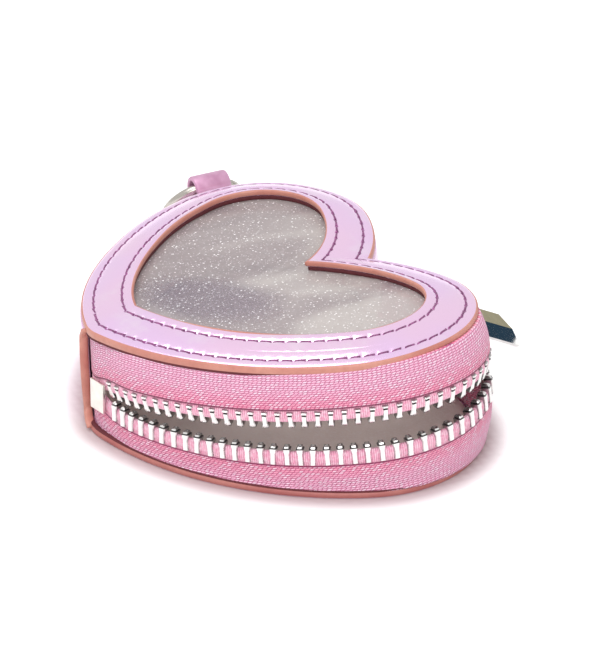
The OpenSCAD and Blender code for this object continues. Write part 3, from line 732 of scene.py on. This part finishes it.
coverBead("cover_edge_paint", beadProfile((0.20 * mm, -0.72 * mm), 0.42 * mm, 0.78 * mm), coral)
coverBead("window_edge_paint", beadProfile((cover["border"] - 0.14 * mm, cover["dome"] - 0.52 * mm),
                                           0.34 * mm, 0.54 * mm), coral)
# the backing's rim shows as a thin dark line under both edge beads: partly its own maroon, partly painted
# shade
backing = np.array([[-0.10, -1.30], [-0.10, -1.84], [0.40, -1.90], [8.6, 0.10], [9.42, 0.32], [9.42, 1.45],
                    [8.6, 1.0], [0.40, -1.30]]) * mm
coverBead("cover_backing_cloth", backing, maroonShadeCloth, ["cover_backing", "flap_backing"])


def filmHeight(x, y):
    # sags a little at the middle and lies in two shallow waves
    r = np.sqrt((x / film["reachX"]) ** 2 + ((y - film["middleY"]) / film["reachY"]) ** 2)
    wave = film["wave"] * np.sin(x / (7 * mm) + 0.6) * np.cos(y / (9 * mm) + 0.4)
    return film["height"] + film["sag"] * (1 - smooth(0.8, 1.15, r)) + wave * (1 - smooth(0.55, 1.0, r))


windowLine = heartAt(loopSteps(cover["lineSteps"]), cover["border"] - film["overlap"])[0]
mesh = plateMesh("window_film", windowLine, film["rings"], filmHeight, film["thickness"],
                 moved=lambda points: onCover(points, 1.0))
addObject("window_film", mesh, None, ["cover_film", "flap_film"], glitter)
print("cover made")


# Stitches

def stitchShape(length, width, height, hook):
    # six-sided rings along a bar that dives at both ends and, with a hook, turns inwards at its far end
    path = np.array([[0, -0.50, -0.75], [0, -0.44, -0.1], [0, -0.2, 0.05], [0, 0.2, 0.05], [0, 0.40, 0.0],
                     [-hook * 0.35, 0.47, -0.1], [-hook, 0.52, -0.75]])
    size = np.array([0.5, 0.85, 1.0, 1.0, 1.0, 0.95, 0.7])
    points = path * np.array([width, length, height])
    tangent = unit(np.gradient(points, axis=0))
    aside = unit(np.cross(tangent, [0, 0, 1.0]))
    upward = np.cross(aside, tangent)
    turn = allRound(6)[None, :, None]
    ring = aside[:, None] * np.cos(turn) * width / 2 + upward[:, None] * np.sin(turn) * height / 2
    ring = points[:, None] + size[:, None, None] * ring
    return ring.reshape(-1, 3), gridFaces(len(path), 6, False, True)[0] + capFaces(len(path), 6)


def copies(shape, faces, turns, places, sizes=1.0):
    # the same small shape at many places: each sized and turned by its own matrix, then moved
    points = np.einsum("nij,nvj->nvi", turns, shape[None] * np.broadcast_to(sizes, places.shape)[:, None])
    points = points + places[:, None, :]
    return points.reshape(-1, 3), [[v + k * len(shape) for v in f] for k in range(len(places)) for f in faces]


def stitchPlaces(inset):
    # the middle of each step along both halves: distance, place and direction
    lengths, count = rowOf(inset)
    s = np.interp((np.arange(count) + 0.5) / count * lengths[-1], lengths, denseS)
    s = np.concatenate([s, -s])
    return s, *heartAt(s, inset)


def turnsAt(angle, tilt=0.0):
    # frames with x outwards and down by tilt, y along the row and z up
    c, s, one = np.cos(angle), np.sin(angle), np.ones(len(angle))
    x = np.column_stack([c * math.cos(tilt), s * math.cos(tilt), -one * math.sin(tilt)])
    z = np.column_stack([c * math.sin(tilt), s * math.sin(tilt), one * math.cos(tilt)])
    return np.stack([x, np.column_stack([-s, c, 0 * one]), z], -1)


def stitchRow(inset, seed):
    # each stitch is a little turned and sized by chance
    s, points, angle = stitchPlaces(inset)
    dice = np.random.default_rng(seed)
    angle = angle + dice.normal(0, stitching["turned"], len(s)) + stitching["slant"]
    sizes = np.column_stack([1 + dice.normal(0, stitching["thicker"], len(s)),
                             (1 + dice.normal(0, stitching["longer"], len(s))) * np.sign(s), np.ones(len(s))])
    d = np.full(len(s), inset)
    height = borderLift(s, d) + buckle(s, d) + stitching["proud"]
    shape, faces = stitchShape(stitching["length"], stitching["width"], stitching["height"],
                               stitching["hook"])
    return copies(shape, faces, turnsAt(angle, math.atan(slope)), np.column_stack([points, height]), sizes)


for name, inset, seed, nodes in [
        ("cover_stitches", stitching["outerRow"], 4, ["cover_stitching", "flap_stitching"]),
        ("window_stitches", stitching["innerRow"], 5, ["window_stitching", "flap_window_stitching"])]:
    points, faces = stitchRow(inset, seed)
    mesh = meshFrom(name, onCover(points, inset / cover["border"]), faces)
    addObject(name, mesh, None, nodes, mauveThread)
print("stitches made")


# Walls

tape = dict(start=-4 * mm, cleftX=3.6 * mm, thickness=0.56 * mm, cord=2.1 * mm, cordFace=0.30 * mm,
            cordRadius=0.52 * mm, cordHollow=0.2 * mm, heldTop=0.9 * mm, heldFoot=1.24 * mm,
            headRoom=0.2 * mm, ripple=0.10 * mm, ripplePitch=6.5 * mm, steps=460)


def mouthHeight(base, s, row):
    # the corded edge of a tape: past the teeth's heads, and closing up towards the point
    past = smooth(0, 1.5 * mm, s - lobeArcAt(zipper["sliderAngle"]) - 0.7 * zipper["sliderLength"])
    heads = (zipper["head"] + tape["headRoom"]) * smooth(-3 * mm, 7 * mm, s) * (1 - past)
    heads = heads + (tape["cordRadius"] - zipper["closedGap"] / 2) * past
    return zipMiddle(base) + row * (zipGap(base, s) / 2 + heads)


def makeTape(name, row, body, nodes, material):
    # section of a tape as (share of the woven part, share of the cord, depth): down its outer face, a step in
    # to the cord, round the cord's edge, and back up its inner face
    s = np.linspace(tape["start"], halfLength - tape["cleftX"], tape["steps"])
    base = heartAt(s, 0.0)[0]
    mouth = mouthHeight(base, s, row)
    held = coverTop(base) - tape["heldTop"] if row > 0 else tape["heldFoot"]
    weaveShare, cordShare = np.linspace(1, 0, 18), np.linspace(1, 0, 7)
    turn = np.linspace(-math.pi / 2, math.pi / 2, 8)[1:]
    face, r = tape["cordFace"], tape["cordRadius"]
    hollow = face - tape["cordHollow"] * np.sin(np.pi * cordShare)
    parts = [np.stack([weaveShare, np.ones(18), 0 * weaveShare], -1),
             np.stack([0 * cordShare, cordShare * 0.97, hollow], -1),
             np.stack([0 * turn, -r / tape["cord"] * np.cos(turn), face + r + r * np.sin(turn)], -1),
             np.stack([np.linspace(0, 1, 10), np.r_[0.4, np.ones(9)],
                       np.r_[face + 2 * r, np.full(9, tape["thickness"])]], -1)]
    profile = np.concatenate(parts)
    woven = np.abs(held - mouth) - tape["cord"]
    away = woven[:, None] * profile[None, :, 0] + tape["cord"] * profile[None, :, 1]
    z = mouth[:, None] + row * away
    ripple = tape["ripple"] * np.sin(s / tape["ripplePitch"])[:, None] * np.sin(np.pi * profile[None, :, 0])
    grid, _ = zipWall(s[:, None] + 0 * z, z, profile[None, :, 2] - ripple)
    front = len(parts[0]) + len(parts[1]) + 4
    across = np.where(np.arange(len(profile)) < front, away, -6 * mm - away)
    addObject(name, sweptMesh(name, grid, across, s, closed=False), body, nodes, material)


makeTape("upper_zip_tape", 1, None, ["upper_tape", "end_tape", "tip_tape"], upperTwill)
makeTape("lower_zip_tape", -1, "purse", ["lower_tape"], lowerTwill)
print("tapes made")


# Teeth

teeth = dict(width=1.12 * mm, thickness=1.9 * mm, depth=0.55 * mm, leanUpper=0.95 * mm, leanLower=0.25 * mm,
             corner=0.74, jitter=0.05 * mm, sway=0.035, meshed=0.8, splitGap=1.1 * mm, stopGap=1.45 * mm)


def toothShape(row):
    # sections from the tip to the end of the leg: height in mm, width and thickness as shares, and the
    # painted shade of the front from there on, 1 bright, 0 dark; the upper row shows a wide foot, the lower a
    # slit painted dark over shoulders
    if row > 0:
        stations = np.array([[0.00, 0.60, 0.40, 0.8], [0.12, 1.12, 0.72, 1.0], [0.55, 1.25, 0.94, 1.0],
                             [1.05, 1.05, 0.98, 1.0], [1.35, 0.90, 0.96, 1.0], [3.10, 0.92, 1.00, 0.2],
                             [3.20, 0.86, 0.72, 0.0], [3.46, 0.86, 0.72, 0.2], [3.56, 1.12, 1.02, 1.0],
                             [3.84, 1.10, 1.02, 0.8], [3.90, 1.00, 0.90, 0.8]])
    else:
        stations = np.array([[0.00, 0.50, 0.40, 0.9], [0.14, 0.86, 0.70, 1.0], [0.42, 0.92, 0.88, 0.0],
                             [0.60, 0.92, 0.78, 0.4], [0.70, 1.36, 0.98, 1.0], [1.15, 1.22, 1.00, 1.0],
                             [1.65, 0.92, 1.00, 1.0], [3.60, 0.94, 1.00, 0.9], [3.84, 1.02, 1.00, 0.8],
                             [3.90, 0.95, 0.90, 0.8]])
    corner = teeth["corner"]
    ring = np.array([[1, corner], [corner, 1], [-corner, 1], [-1, corner], [-1, -corner], [-corner, -1],
                     [corner, -1], [1, -corner]])
    half = np.stack([stations[:, 2] * teeth["thickness"] / 2, stations[:, 1] * teeth["width"] / 2], -1)
    points = np.dstack([ring[None] * half[:, None, :], np.repeat(stations[:, :1] * mm, 8, axis=1)])
    # painted shade of the eight faces round each section: brightest on the front, darkest on the back; the
    # lower row's front lies opposite
    sideShade = np.array([0.75, 0.42, 0.30, 0.25, 0.30, 0.42, 0.75, 1.0])
    sideShade = np.roll(sideShade, 4) if row < 0 else sideShade
    paintedShade = np.append((stations[:-1, 3:] * sideShade[None]).ravel(), [0.75, 0.45])
    faces = gridFaces(len(stations), 8, False, True)[0] + capFaces(len(stations), 8)
    return points.reshape(-1, 3), faces, paintedShade


def toothRow(name, low, high, row, body, nodes, seed):
    # each tooth runs from its tip, which leans into the purse, to its leg's end at the edge of the woven tape
    count = int((onTape(high) - firstTooth) // zipper["pitch"]) + 1
    along = firstTooth + (0 if row > 0 else zipper["pitch"] / 2) + np.arange(-1, count) * zipper["pitch"]
    s = np.interp(along, tapeLength, denseS)
    s = s[(s > low) & (s < high)]
    base = heartAt(s, 0.0)[0]
    tipZ = zipMiddle(base) + row * zipGap(base, s) / 2
    legZ = tipZ + row * (zipper["head"] + zipper["leg"])
    closing = smooth(meshStart - 3 * mm, meshStart, s)
    lean = (teeth["leanUpper"] if row > 0 else teeth["leanLower"]) * (1 - closing)
    dice = np.random.default_rng(seed)
    tip, _ = zipWall(s, tipZ, teeth["depth"] + lean + dice.normal(0, teeth["jitter"], len(s)))
    leg, angle = zipWall(s, legZ, teeth["depth"] + 0 * s)
    aside = np.column_stack([-np.sin(angle), np.cos(angle), 0 * angle])
    axis = unit(unit(leg - tip) + aside * dice.normal(0, teeth["sway"], len(s))[:, None])
    side = unit(aside - axis * (aside * axis).sum(1)[:, None])
    turns = np.stack([np.cross(side, axis), side, axis], -1)
    sizes = np.column_stack([1 + 0 * s, 1 - (1 - teeth["meshed"]) * closing, 1 + 0 * s])
    shape, faces, paintedShade = toothShape(row)
    points, allFaces = copies(shape, faces, turns, tip, sizes)
    # each face's painted shade goes to all its corners, in both coordinates of the path map
    paintedShades = np.tile(np.concatenate([np.full(len(f), tone) for f, tone in zip(faces, paintedShade)]), len(s))
    mesh = meshFrom(name, points, allFaces, np.stack([paintedShades, paintedShades], -1), sharpAngle=28, outward=False)
    addObject(name, mesh, body, nodes, shadedToothNickel)


stopAngle = zipper["sliderAngle"] + math.asin(zipper["sliderLength"] / 2 / heart["lobeRadius"])
stopAngle += teeth["stopGap"] / heart["lobeRadius"]
lastTooth = lobeArcAt(stopAngle) - zipper["pitch"]
splitTooth = lobeArcAt(zipper["liftLobeAngle"])
toothRow("lower_zip_teeth", 0, lastTooth, -1, "purse", ["lower_teeth"], 11)
toothRow("upper_zip_teeth", 0, splitTooth - teeth["splitGap"], 1, "flap", ["upper_teeth"], 12)
toothRow("end_zip_teeth", splitTooth + teeth["splitGap"], lastTooth, 1, "purse", ["end_teeth"], 13)
print("teeth made")


# Gusset, base and linings

gusset = dict(end=-4.2 * mm, endFoot=-0.9 * mm, past=4 * mm, thickness=1.1 * mm, splay=1.6 * mm, top=1.4 * mm,
              foot=1.3 * mm, nominal=18 * mm, edgeDepth=0.85 * mm, edgeWidth=0.38 * mm, footSwing=4.2 * mm,
              topSwing=2.2 * mm, proudFoot=0.5 * mm, proudTop=0.3 * mm, belly=0.25 * mm, flare=0.35 * mm,
              flareShare=0.06, wave=0.18 * mm, wavePitch=8 * mm)


def gussetFace(v):
    # how far the gusset's outer face stands out of the outline: a soft belly, and a flare at its foot
    belly = gusset["proudFoot"] * (1 - v) + gusset["proudTop"] * v + gusset["belly"] * np.sin(np.pi * v)
    return -belly - gusset["flare"] * hill(v, 0, gusset["flareShare"])


def gussetEnd(v):
    # where along the outline the gusset ends beside the zip: a little further round at its foot
    return gusset["end"] + gusset["endFoot"] * (1 - v)


def besideCleft(first, steps=400):
    # distances from the gusset's end round the far lobe to the cleft, and a little past it
    share = np.linspace(0, 1, steps)[:, None]
    toCleft = first[None] * (1 - share) - halfLength * share
    beyond = -halfLength - gusset["past"] * np.linspace(0, 1, 14)[1:, None] + 0 * first[None]
    return np.concatenate([toCleft, beyond])


def wallHeight(s, v, top, foot):
    # share v of the way up from the foot to the top, which is measured down from the cover
    base = heartAt(s, 0.0)[0]
    return (coverTop(base) - top) * v + foot * (1 - v)


def wallSheet(name, outer, inner, first, top, foot, steps, offset, node, material):
    # down its outer face from the cover to the base and back up its inner one, both given as insets from top
    # to foot, carried from its end round the far lobe and past the cleft; offset(s, height share) adds to it
    v = np.linspace(1, 0, len(outer))
    share, inset = np.r_[v, v[::-1]], np.r_[outer, inner[::-1]]
    s = besideCleft(first(share), steps)
    z = wallHeight(s, share[None], top, foot)
    grid, _ = leaned(s, z, inset[None] + offset(s, share[None]))
    across = lineLengths(np.stack([share * gusset["nominal"], inset], -1))
    addObject(name, sweptMesh(name, grid, across, -s.mean(1), closed=False), "purse", [node], material)


def gussetWave(s, v):
    # slow waves that die out at both ends, less the splay beside the cleft, which grows towards the foot
    wave = gusset["wave"] * np.sin(s / gusset["wavePitch"]) * np.sin(np.pi * v)
    wave = wave * smooth(0, 12 * mm, np.abs(s)) * smooth(0, 9 * mm, halfLength - np.abs(s))
    return wave - gusset["splay"] * smooth(0, 15 * mm, np.abs(s) - (halfLength - 16 * mm)) * (1 - v)


faceDown = gussetFace(np.linspace(1, 0, 22))
wallSheet("gusset_leather", faceDown, faceDown + gusset["thickness"], gussetEnd, gusset["top"],
          gusset["foot"], 400, gussetWave, "gusset", shadedWallFoil)


def gussetEdge():
    # a bead of edge paint down the gusset's end, which swings out along the zip at its top and its foot
    v = np.linspace(1.03, -0.01, 60)
    swing = np.exp(-(np.clip(v, 0, 1) / 0.045) ** 2)
    s = gussetEnd(v) + gusset["footSwing"] * swing + gusset["topSwing"] * hill(v, 1.03, 0.07)
    z = wallHeight(s, v, gusset["top"], 0.9 * mm)
    centre, angle = leaned(s, z, gussetFace(v) + 0.05 * mm - 0.1 * mm * swing)
    outward = np.column_stack([np.cos(angle), np.sin(angle), 0 * angle])
    beside = unit(np.cross(np.gradient(centre, axis=0), outward))
    turn = allRound(14)
    deep, wide = gusset["edgeDepth"] * np.cos(turn)[:, None], gusset["edgeWidth"] * np.sin(turn)[:, None]
    grid = centre[:, None] + outward[:, None] * deep + beside[:, None] * wide
    return sweptMesh("gusset_edge_paint", grid, turn * 0.5 * mm, lineLengths(centre), closed=False)


addObject("gusset_edge_paint", gussetEdge(), "purse", [], coral)

base = dict(proud=1.0 * mm, under=0.3 * mm, thickness=1.3 * mm, bead=0.42 * mm)
baseShift = np.array([walls["leanX"], walls["leanY"]])


def shiftedLine(inset, steps=cover["lineSteps"]):
    # the outline drawn in by inset and moved with the base
    return heartAt(loopSteps(steps), inset)[0] + baseShift


mesh = plateMesh("base_leather", shiftedLine(-base["proud"] + base["under"]), 10,
                 lambda x, y: 0 * x + base["thickness"], base["thickness"], sharpAngle=40)
addObject("base_leather", mesh, "purse", ["base_panel"], foil)
# the base's edge paint in the shaded coral, and above it a maroon strip along the seam whose dark line is
# partly its own colour and partly painted shade
for name, profile, slot, material in [
        ("base_edge_paint", beadProfile((-base["proud"] + base["bead"], base["thickness"] / 2), base["bead"],
                                        base["thickness"] / 2 - 0.01 * mm, power=2.0), "leather", shadedCoral),
        ("base_seam_cloth", beadProfile((-0.30 * mm, base["thickness"] + 0.10 * mm), 0.50 * mm, 0.20 * mm,
                                        12), "suede", maroonShadeCloth)]:
    line = heartAt(loopSteps(cover["lineSteps"])[:, None], profile[None, :, 0])[0] + baseShift
    grid = np.dstack([line, np.broadcast_to(profile[:, 1], line.shape[:2])])
    mesh = sweptMesh(name, grid, lineLengths(profile), lineLengths(line[:, 0]))
    addObject(name, mesh, "purse", [], material)

# a low row of stitches round the base's rim, half hidden by the turned-out foot of the walls
_, points, angle = stitchPlaces(stitching["baseInset"])
shape, faces = stitchShape(stitching["length"], stitching["baseWidth"], stitching["baseHeight"], 0.0)
height = np.full(len(points), base["thickness"] + stitching["baseProud"])
points, faces = copies(shape, faces, turnsAt(angle), np.column_stack([points + baseShift, height]))
addObject("base_stitches", meshFrom("base_stitches", points, faces), "purse", ["base_stitching"],
          mauveThread)

lining = dict(inset=1.2 * mm, thickness=0.45 * mm, start=1.5 * mm, top=1.6 * mm, foot=2.0 * mm, wave=0.3 * mm,
              wavePitch=5 * mm, floorHeight=2.3 * mm, floorThickness=0.9 * mm, floorWave=0.12 * mm)


def liningFloor(x, y):
    # a level floor plus a wave along x times one along y
    return lining["floorHeight"] + lining["floorWave"] * np.sin(x / (9 * mm)) * np.sin(y / (7 * mm) + 1)


mesh = plateMesh("floor_lining", shiftedLine(lining["start"]), 20, liningFloor, lining["floorThickness"])
addObject("floor_lining", mesh, "purse", ["base_lining", "base_board"], suede)


def liningWave(s, v):
    # suede inside the gusset lies in soft waves that die out at the cleft
    wave = lining["wave"] * (1 + np.sin(s / lining["wavePitch"])) * np.sin(np.pi * v)
    return wave * smooth(0, 9 * mm, halfLength - np.abs(s))


wallSheet("wall_lining", np.full(16, lining["inset"]), np.full(16, lining["inset"] + lining["thickness"]),
          lambda v: lining["start"] + 0 * v, lining["top"], lining["foot"], 320, liningWave, "gusset_lining",
          suede)
print("walls and base made")


# Metal pieces that keep their CAD shape, with their edges eased

def easedCopy(name, node, body, material, width, drop=0.0):
    # the node's own solid, its flat faces joined again and its edges bevelled
    work = bmesh.new()
    work.from_mesh(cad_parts[node].data)
    bmesh.ops.remove_doubles(work, verts=work.verts, dist=1e-6)
    bmesh.ops.dissolve_limit(work, angle_limit=math.radians(1.5), verts=work.verts, edges=work.edges)
    bmesh.ops.translate(work, vec=(0, 0, -drop), verts=work.verts)
    mesh = bpy.data.meshes.new(name)
    work.to_mesh(mesh)
    work.free()
    mesh.shade_smooth()
    bevel = addObject(name, mesh, body, [node], material).modifiers.new("eased", "BEVEL")
    bevel.width, bevel.segments = width, 2
    bevel.limit_method, bevel.angle_limit = "ANGLE", math.radians(35)
    bevel.harden_normals = True


eased = dict(slider=0.25 * mm, small=0.12 * mm, plateDrop=1.1 * mm)
easedCopy("zip_slider", "slider", "slider", brightNickel, eased["slider"])
easedCopy("zip_end_plate", "end_plate", "purse", creamNickel, eased["small"], drop=eased["plateDrop"])
easedCopy("zip_bottom_stop", "bottom_stop", "purse", brightNickel, eased["small"])

puller = dict(place=(13.449 * mm, 38.93 * mm, 13.949 * mm), turn=(43, 32.9, 120), reach=21.2 * mm,
              width=6.7 * mm, end=2.6 * mm, hole=3 * mm, rim=0.34 * mm, ridge=0.80 * mm)


def pullerGrid():
    # rings across the plate from its round end to its slanted far end: up one side to the ridge along the
    # middle and down to the other rim, then back flat underneath
    b = np.concatenate([np.linspace(-1, 1, 17), np.linspace(1, -1, 17)])
    over = np.arange(34) < 17
    a = np.linspace(0, 1, 48)[:, None]
    start = -puller["end"] * np.sqrt(np.clip(1 - b * b, 0, 1))
    far = puller["reach"] - puller["width"] * np.where(b > 0, 1 / 6 + b / 3, (1 + b) / 6)
    x = start[None] * (1 - a) + far[None] * a
    half = np.interp(x, [0, puller["width"] / 2], [puller["end"], puller["width"] / 2])
    rise = puller["rim"] + (puller["ridge"] - puller["rim"]) * (1 - np.abs(b)) * smooth(1.5 * mm, 5 * mm, x)
    z = np.where(over[None], rise, -puller["rim"])
    return np.dstack([x, b[None] * half, z]), b


def ridgedPuller():
    # the plate with its hole punched, turned and moved to where the link holds it
    grid, b = pullerGrid()
    mesh = sweptMesh("zip_puller", grid, b * puller["width"] / 2, grid[:, 8, 0], closed=False)
    plate = linked("puller_plate", mesh)
    bpy.ops.mesh.primitive_cylinder_add(vertices=48, radius=puller["hole"] / 2, depth=4 * mm)
    punch = bpy.context.object
    cut = plate.modifiers.new("hole", "BOOLEAN")
    cut.object, cut.operation, cut.solver = punch, "DIFFERENCE", "EXACT"
    shape = bpy.data.meshes.new_from_object(plate.evaluated_get(bpy.context.evaluated_depsgraph_get()))
    for spare in (plate, punch):
        bpy.data.objects.remove(spare)
    x, y, z = (Matrix.Rotation(math.radians(turn), 4, axis) for turn, axis in zip(puller["turn"], "XYZ"))
    shape.transform(Matrix.Translation(puller["place"]) @ z @ y @ x)
    shape.name = "zip_puller"
    shape.materials.clear()
    shape.shade_flat()
    addObject("zip_puller", shape, "puller", ["puller"], mirrorNickel)


ridgedPuller()


def ringFrom(name, node, body, wire, material):
    # a ring of round wire laid in the plane and at the centre of its CAD node
    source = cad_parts[node].data
    coords = np.empty(len(source.vertices) * 3)
    source.vertices.foreach_get("co", coords)
    coords = coords.reshape(-1, 3)
    centre = (coords.min(0) + coords.max(0)) / 2
    _, _, axes = np.linalg.svd(coords - coords.mean(0), full_matrices=False)
    radius = (np.linalg.norm((coords - centre) @ axes[:2].T, axis=1)).max() - wire
    a, b = allRound(64)[:, None, None], allRound(16)[None, :, None]
    spoke = np.cos(a) * axes[0] + np.sin(a) * axes[1]
    grid = centre + (radius + wire * np.cos(b)) * spoke + wire * np.sin(b) * axes[2]
    mesh = sweptMesh(name, grid, b.ravel() * wire, a.ravel() * radius)
    addObject(name, mesh, body, [node], material)


ringFrom("puller_ring", "puller_link", "link", 0.5 * mm, brightNickel)
ringFrom("tab_ring", "carry_ring", "ring", 1.0 * mm, dullNickel)

tab = dict(loopX=-51.8 * mm, loopZ=16.9 * mm, radius=2.75 * mm, opening=math.radians(22), spread=1.0 * mm,
           into=1.4 * mm, thickness=0.98 * mm, rim=(0, 0.15 * mm, 0.4 * mm),
           drawn=(0.35 * mm, 0.1 * mm, 0, 0, 0, 0.1 * mm, 0.35 * mm))


def foldedTab():
    # a strap in along the top, round the ring's bar and back below it, and its inner face the same way back;
    # near its two cut edges the section draws in towards its middle line
    low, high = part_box("ring_tab")
    turn = np.linspace(tab["opening"], 2 * np.pi - tab["opening"], 40)
    root, rise = np.array([high.x + tab["into"], tab["loopZ"]]), np.array([0, tab["spread"]])
    loop = np.array([tab["loopX"], tab["loopZ"]]) + tab["radius"] * np.stack([np.cos(turn), np.sin(turn)], -1)
    outer = np.concatenate([np.linspace(root + rise, loop[0], 8)[:-1], loop,
                            np.linspace(loop[-1], root - rise, 8)[1:]])
    inner = outer + unit(np.gradient(outer, axis=0))[:, ::-1] * np.array([-1, 1]) * tab["thickness"]
    profile = np.concatenate([outer, inner[::-1]])
    drawn = (np.concatenate([inner, outer[::-1]]) - profile) / tab["thickness"]
    rim = np.array(tab["rim"])
    y = np.concatenate([low.y + rim, [(low.y + high.y) / 2], high.y - rim[::-1]])
    flat = profile[None] + drawn[None] * np.array(tab["drawn"])[:, None, None]
    grid = np.stack([flat[..., 0], np.broadcast_to(y[:, None], flat.shape[:2]), flat[..., 1]], -1)
    return sweptMesh("tab_leather", grid, lineLengths(profile), y, closed=False)


addObject("tab_leather", foldedTab(), "purse", ["ring_tab"], shadedTabLeather)
print("metal and tab made")


# Floor, lights and camera

studio = dict(floorColour=0.86, floorDrop=0.02 * mm, floorGlow=0.42, mirrorGlow=0.14, shadowReach=6.5 * mm,
              shadowTint=(0.56, 0.45, 0.47), worldColour=0.8, lampSize=0.6, keyPower=2.6, fillPower=2.6,
              keyPlace=(-0.10, -0.26, 0.82), fillPlace=(0.64, -0.28, 0.5), lampTarget=(0, 0, 0.015))
# the dark patch of painted reflection, as seen along the puller's heading: from near to far, and how it
# widens
patch = dict(taupe=(0.36, 0.33, 0.23), navy=(0.025, 0.05, 0.08), headX=-0.5, headY=0.866, middle=0.031,
             near=0.066, far=0.45, spread=0.19, narrow=0.002)


def makeFloor():
    # a fine patch under the purse inside a wide plain floor; close to the base it glows less and is painted a
    # darker mauve, a painted shadow that keeps the soft shadow there deep, while the rest of the floor is
    # white
    lines = np.concatenate([[-3.0, -1.0, -0.3], np.linspace(-0.12, 0.12, 121), [0.3, 1.0, 3.0]])
    x, y = np.meshgrid(lines, lines, indexing="ij")
    points = np.stack([x, y, 0 * x - studio["floorDrop"]], -1).reshape(-1, 3)
    rim = shiftedLine(-base["proud"], 120)
    away = np.sqrt(((points[:, None, :2] - rim[None]) ** 2).sum(-1)).min(1)
    mesh = meshFrom("floor", points, gridFaces(len(lines), len(lines), False, False)[0], outward=False)
    # the painted shadow's mask: 0 at the base's rim, 1 from shadowReach away
    layer = mesh.attributes.new("away", "FLOAT", "POINT")
    layer.data.foreach_set("value", smooth(0, studio["shadowReach"], away).astype(np.float32))
    floor = linked("floor", mesh)
    p = Paint("pale_floor")
    ray = p.outputs(p.add("ShaderNodeLightPath"))
    near = p.add("ShaderNodeAttribute", {"attribute_name": "away"}, out=2)
    glow = ray["Is Glossy Ray"].math("MAXIMUM", ray["Is Transmission Ray"]) * studio["mirrorGlow"]
    # the glow the camera sees fades, and the colour turns to shadowTint, near the base: painted shadow
    glow = glow + ray["Is Camera Ray"] * near * studio["floorGlow"]
    tint = p.blend(near, studio["shadowTint"], (studio["floorColour"],) * 3)
    diffuse = p.add("ShaderNodeBsdfDiffuse", None, {"Color": tint})
    shine = p.add("ShaderNodeEmission", None, {"Color": glow, "Strength": 1.0})
    plain = p.add("ShaderNodeAddShader", None, {0: diffuse, 1: shine})
    # a painted reflection for the puller: a patch of floor far behind it that only glossy rays see, glowing
    # taupe on one side and navy on the other
    x, y, _ = p.parts(p.place)
    ahead = y * patch["headY"] + x * patch["headX"]
    aside = patch["middle"] - x * patch["headY"] + y * patch["headX"]
    inside = (ahead > patch["near"]) * (ahead < patch["far"])
    inside = inside * (aside.math("ABSOLUTE") < ahead * patch["spread"] - patch["narrow"])
    dark = p.add("ShaderNodeEmission", None, {"Color": p.blend(aside < 0.0, patch["taupe"], patch["navy"]),
                                              "Strength": 1.0})
    mesh.materials.append(p.finish(p.add("ShaderNodeMixShader", None, {0: inside * ray["Is Glossy Ray"],
                                                                      1: plain, 2: dark})))


def makeWorld():
    world = bpy.data.worlds.new("studio")
    bpy.context.scene.world = world
    world.use_nodes = True
    world.node_tree.nodes["Background"].inputs["Color"].default_value = (*(studio["worldColour"],) * 3, 1)


def softLamp(name, place, power):
    data = bpy.data.lights.new(name, "AREA")
    data.size, data.energy = studio["lampSize"], power
    lamp = linked(name, data)
    lamp.location = place
    lamp.rotation_euler = (Vector(studio["lampTarget"]) - Vector(place)).to_track_quat("-Z", "Y").to_euler()


def makeCamera():
    # fitted to the photograph: azimuth, elevation, distance and the point looked at
    view = dict(azimuth=math.radians(65.05), elevation=math.radians(29.5), distance=1313.5 * mm,
                target=(16.0 * mm, 3.95 * mm, 21.85 * mm), focalPixels=6824, frameWidth=600,
                shiftX=5.5, shiftY=0.8, roll=math.radians(-0.194))
    a, e = view["azimuth"], view["elevation"]
    back = Vector((math.sin(a) * math.cos(e), -math.cos(a) * math.cos(e), math.sin(e)))
    data = bpy.data.cameras.new("photo_view")
    data.sensor_fit = "HORIZONTAL"
    data.sensor_width = 36
    data.lens = view["focalPixels"] / view["frameWidth"] * data.sensor_width
    camera = linked("photo_view", data)
    right = Vector((math.cos(a), math.sin(a), 0))
    up = back.cross(right)
    perPixel = view["distance"] / view["focalPixels"]
    aim = Vector(view["target"]) - right * view["shiftX"] * perPixel + up * view["shiftY"] * perPixel
    camera.location = aim + back * view["distance"]
    camera.rotation_mode = "QUATERNION"
    camera.rotation_quaternion = (-back).to_track_quat("-Z", "Y") @ Quaternion((0, 0, 1), view["roll"])
    data.clip_start, data.clip_end = 0.05, 20
    bpy.context.scene.camera = camera


makeFloor()
makeWorld()
softLamp("key_lamp", studio["keyPlace"], studio["keyPower"])
softLamp("fill_lamp", studio["fillPlace"], studio["fillPower"])
makeCamera()
bpy.context.scene.view_settings.view_transform = "Standard"
print("studio made")
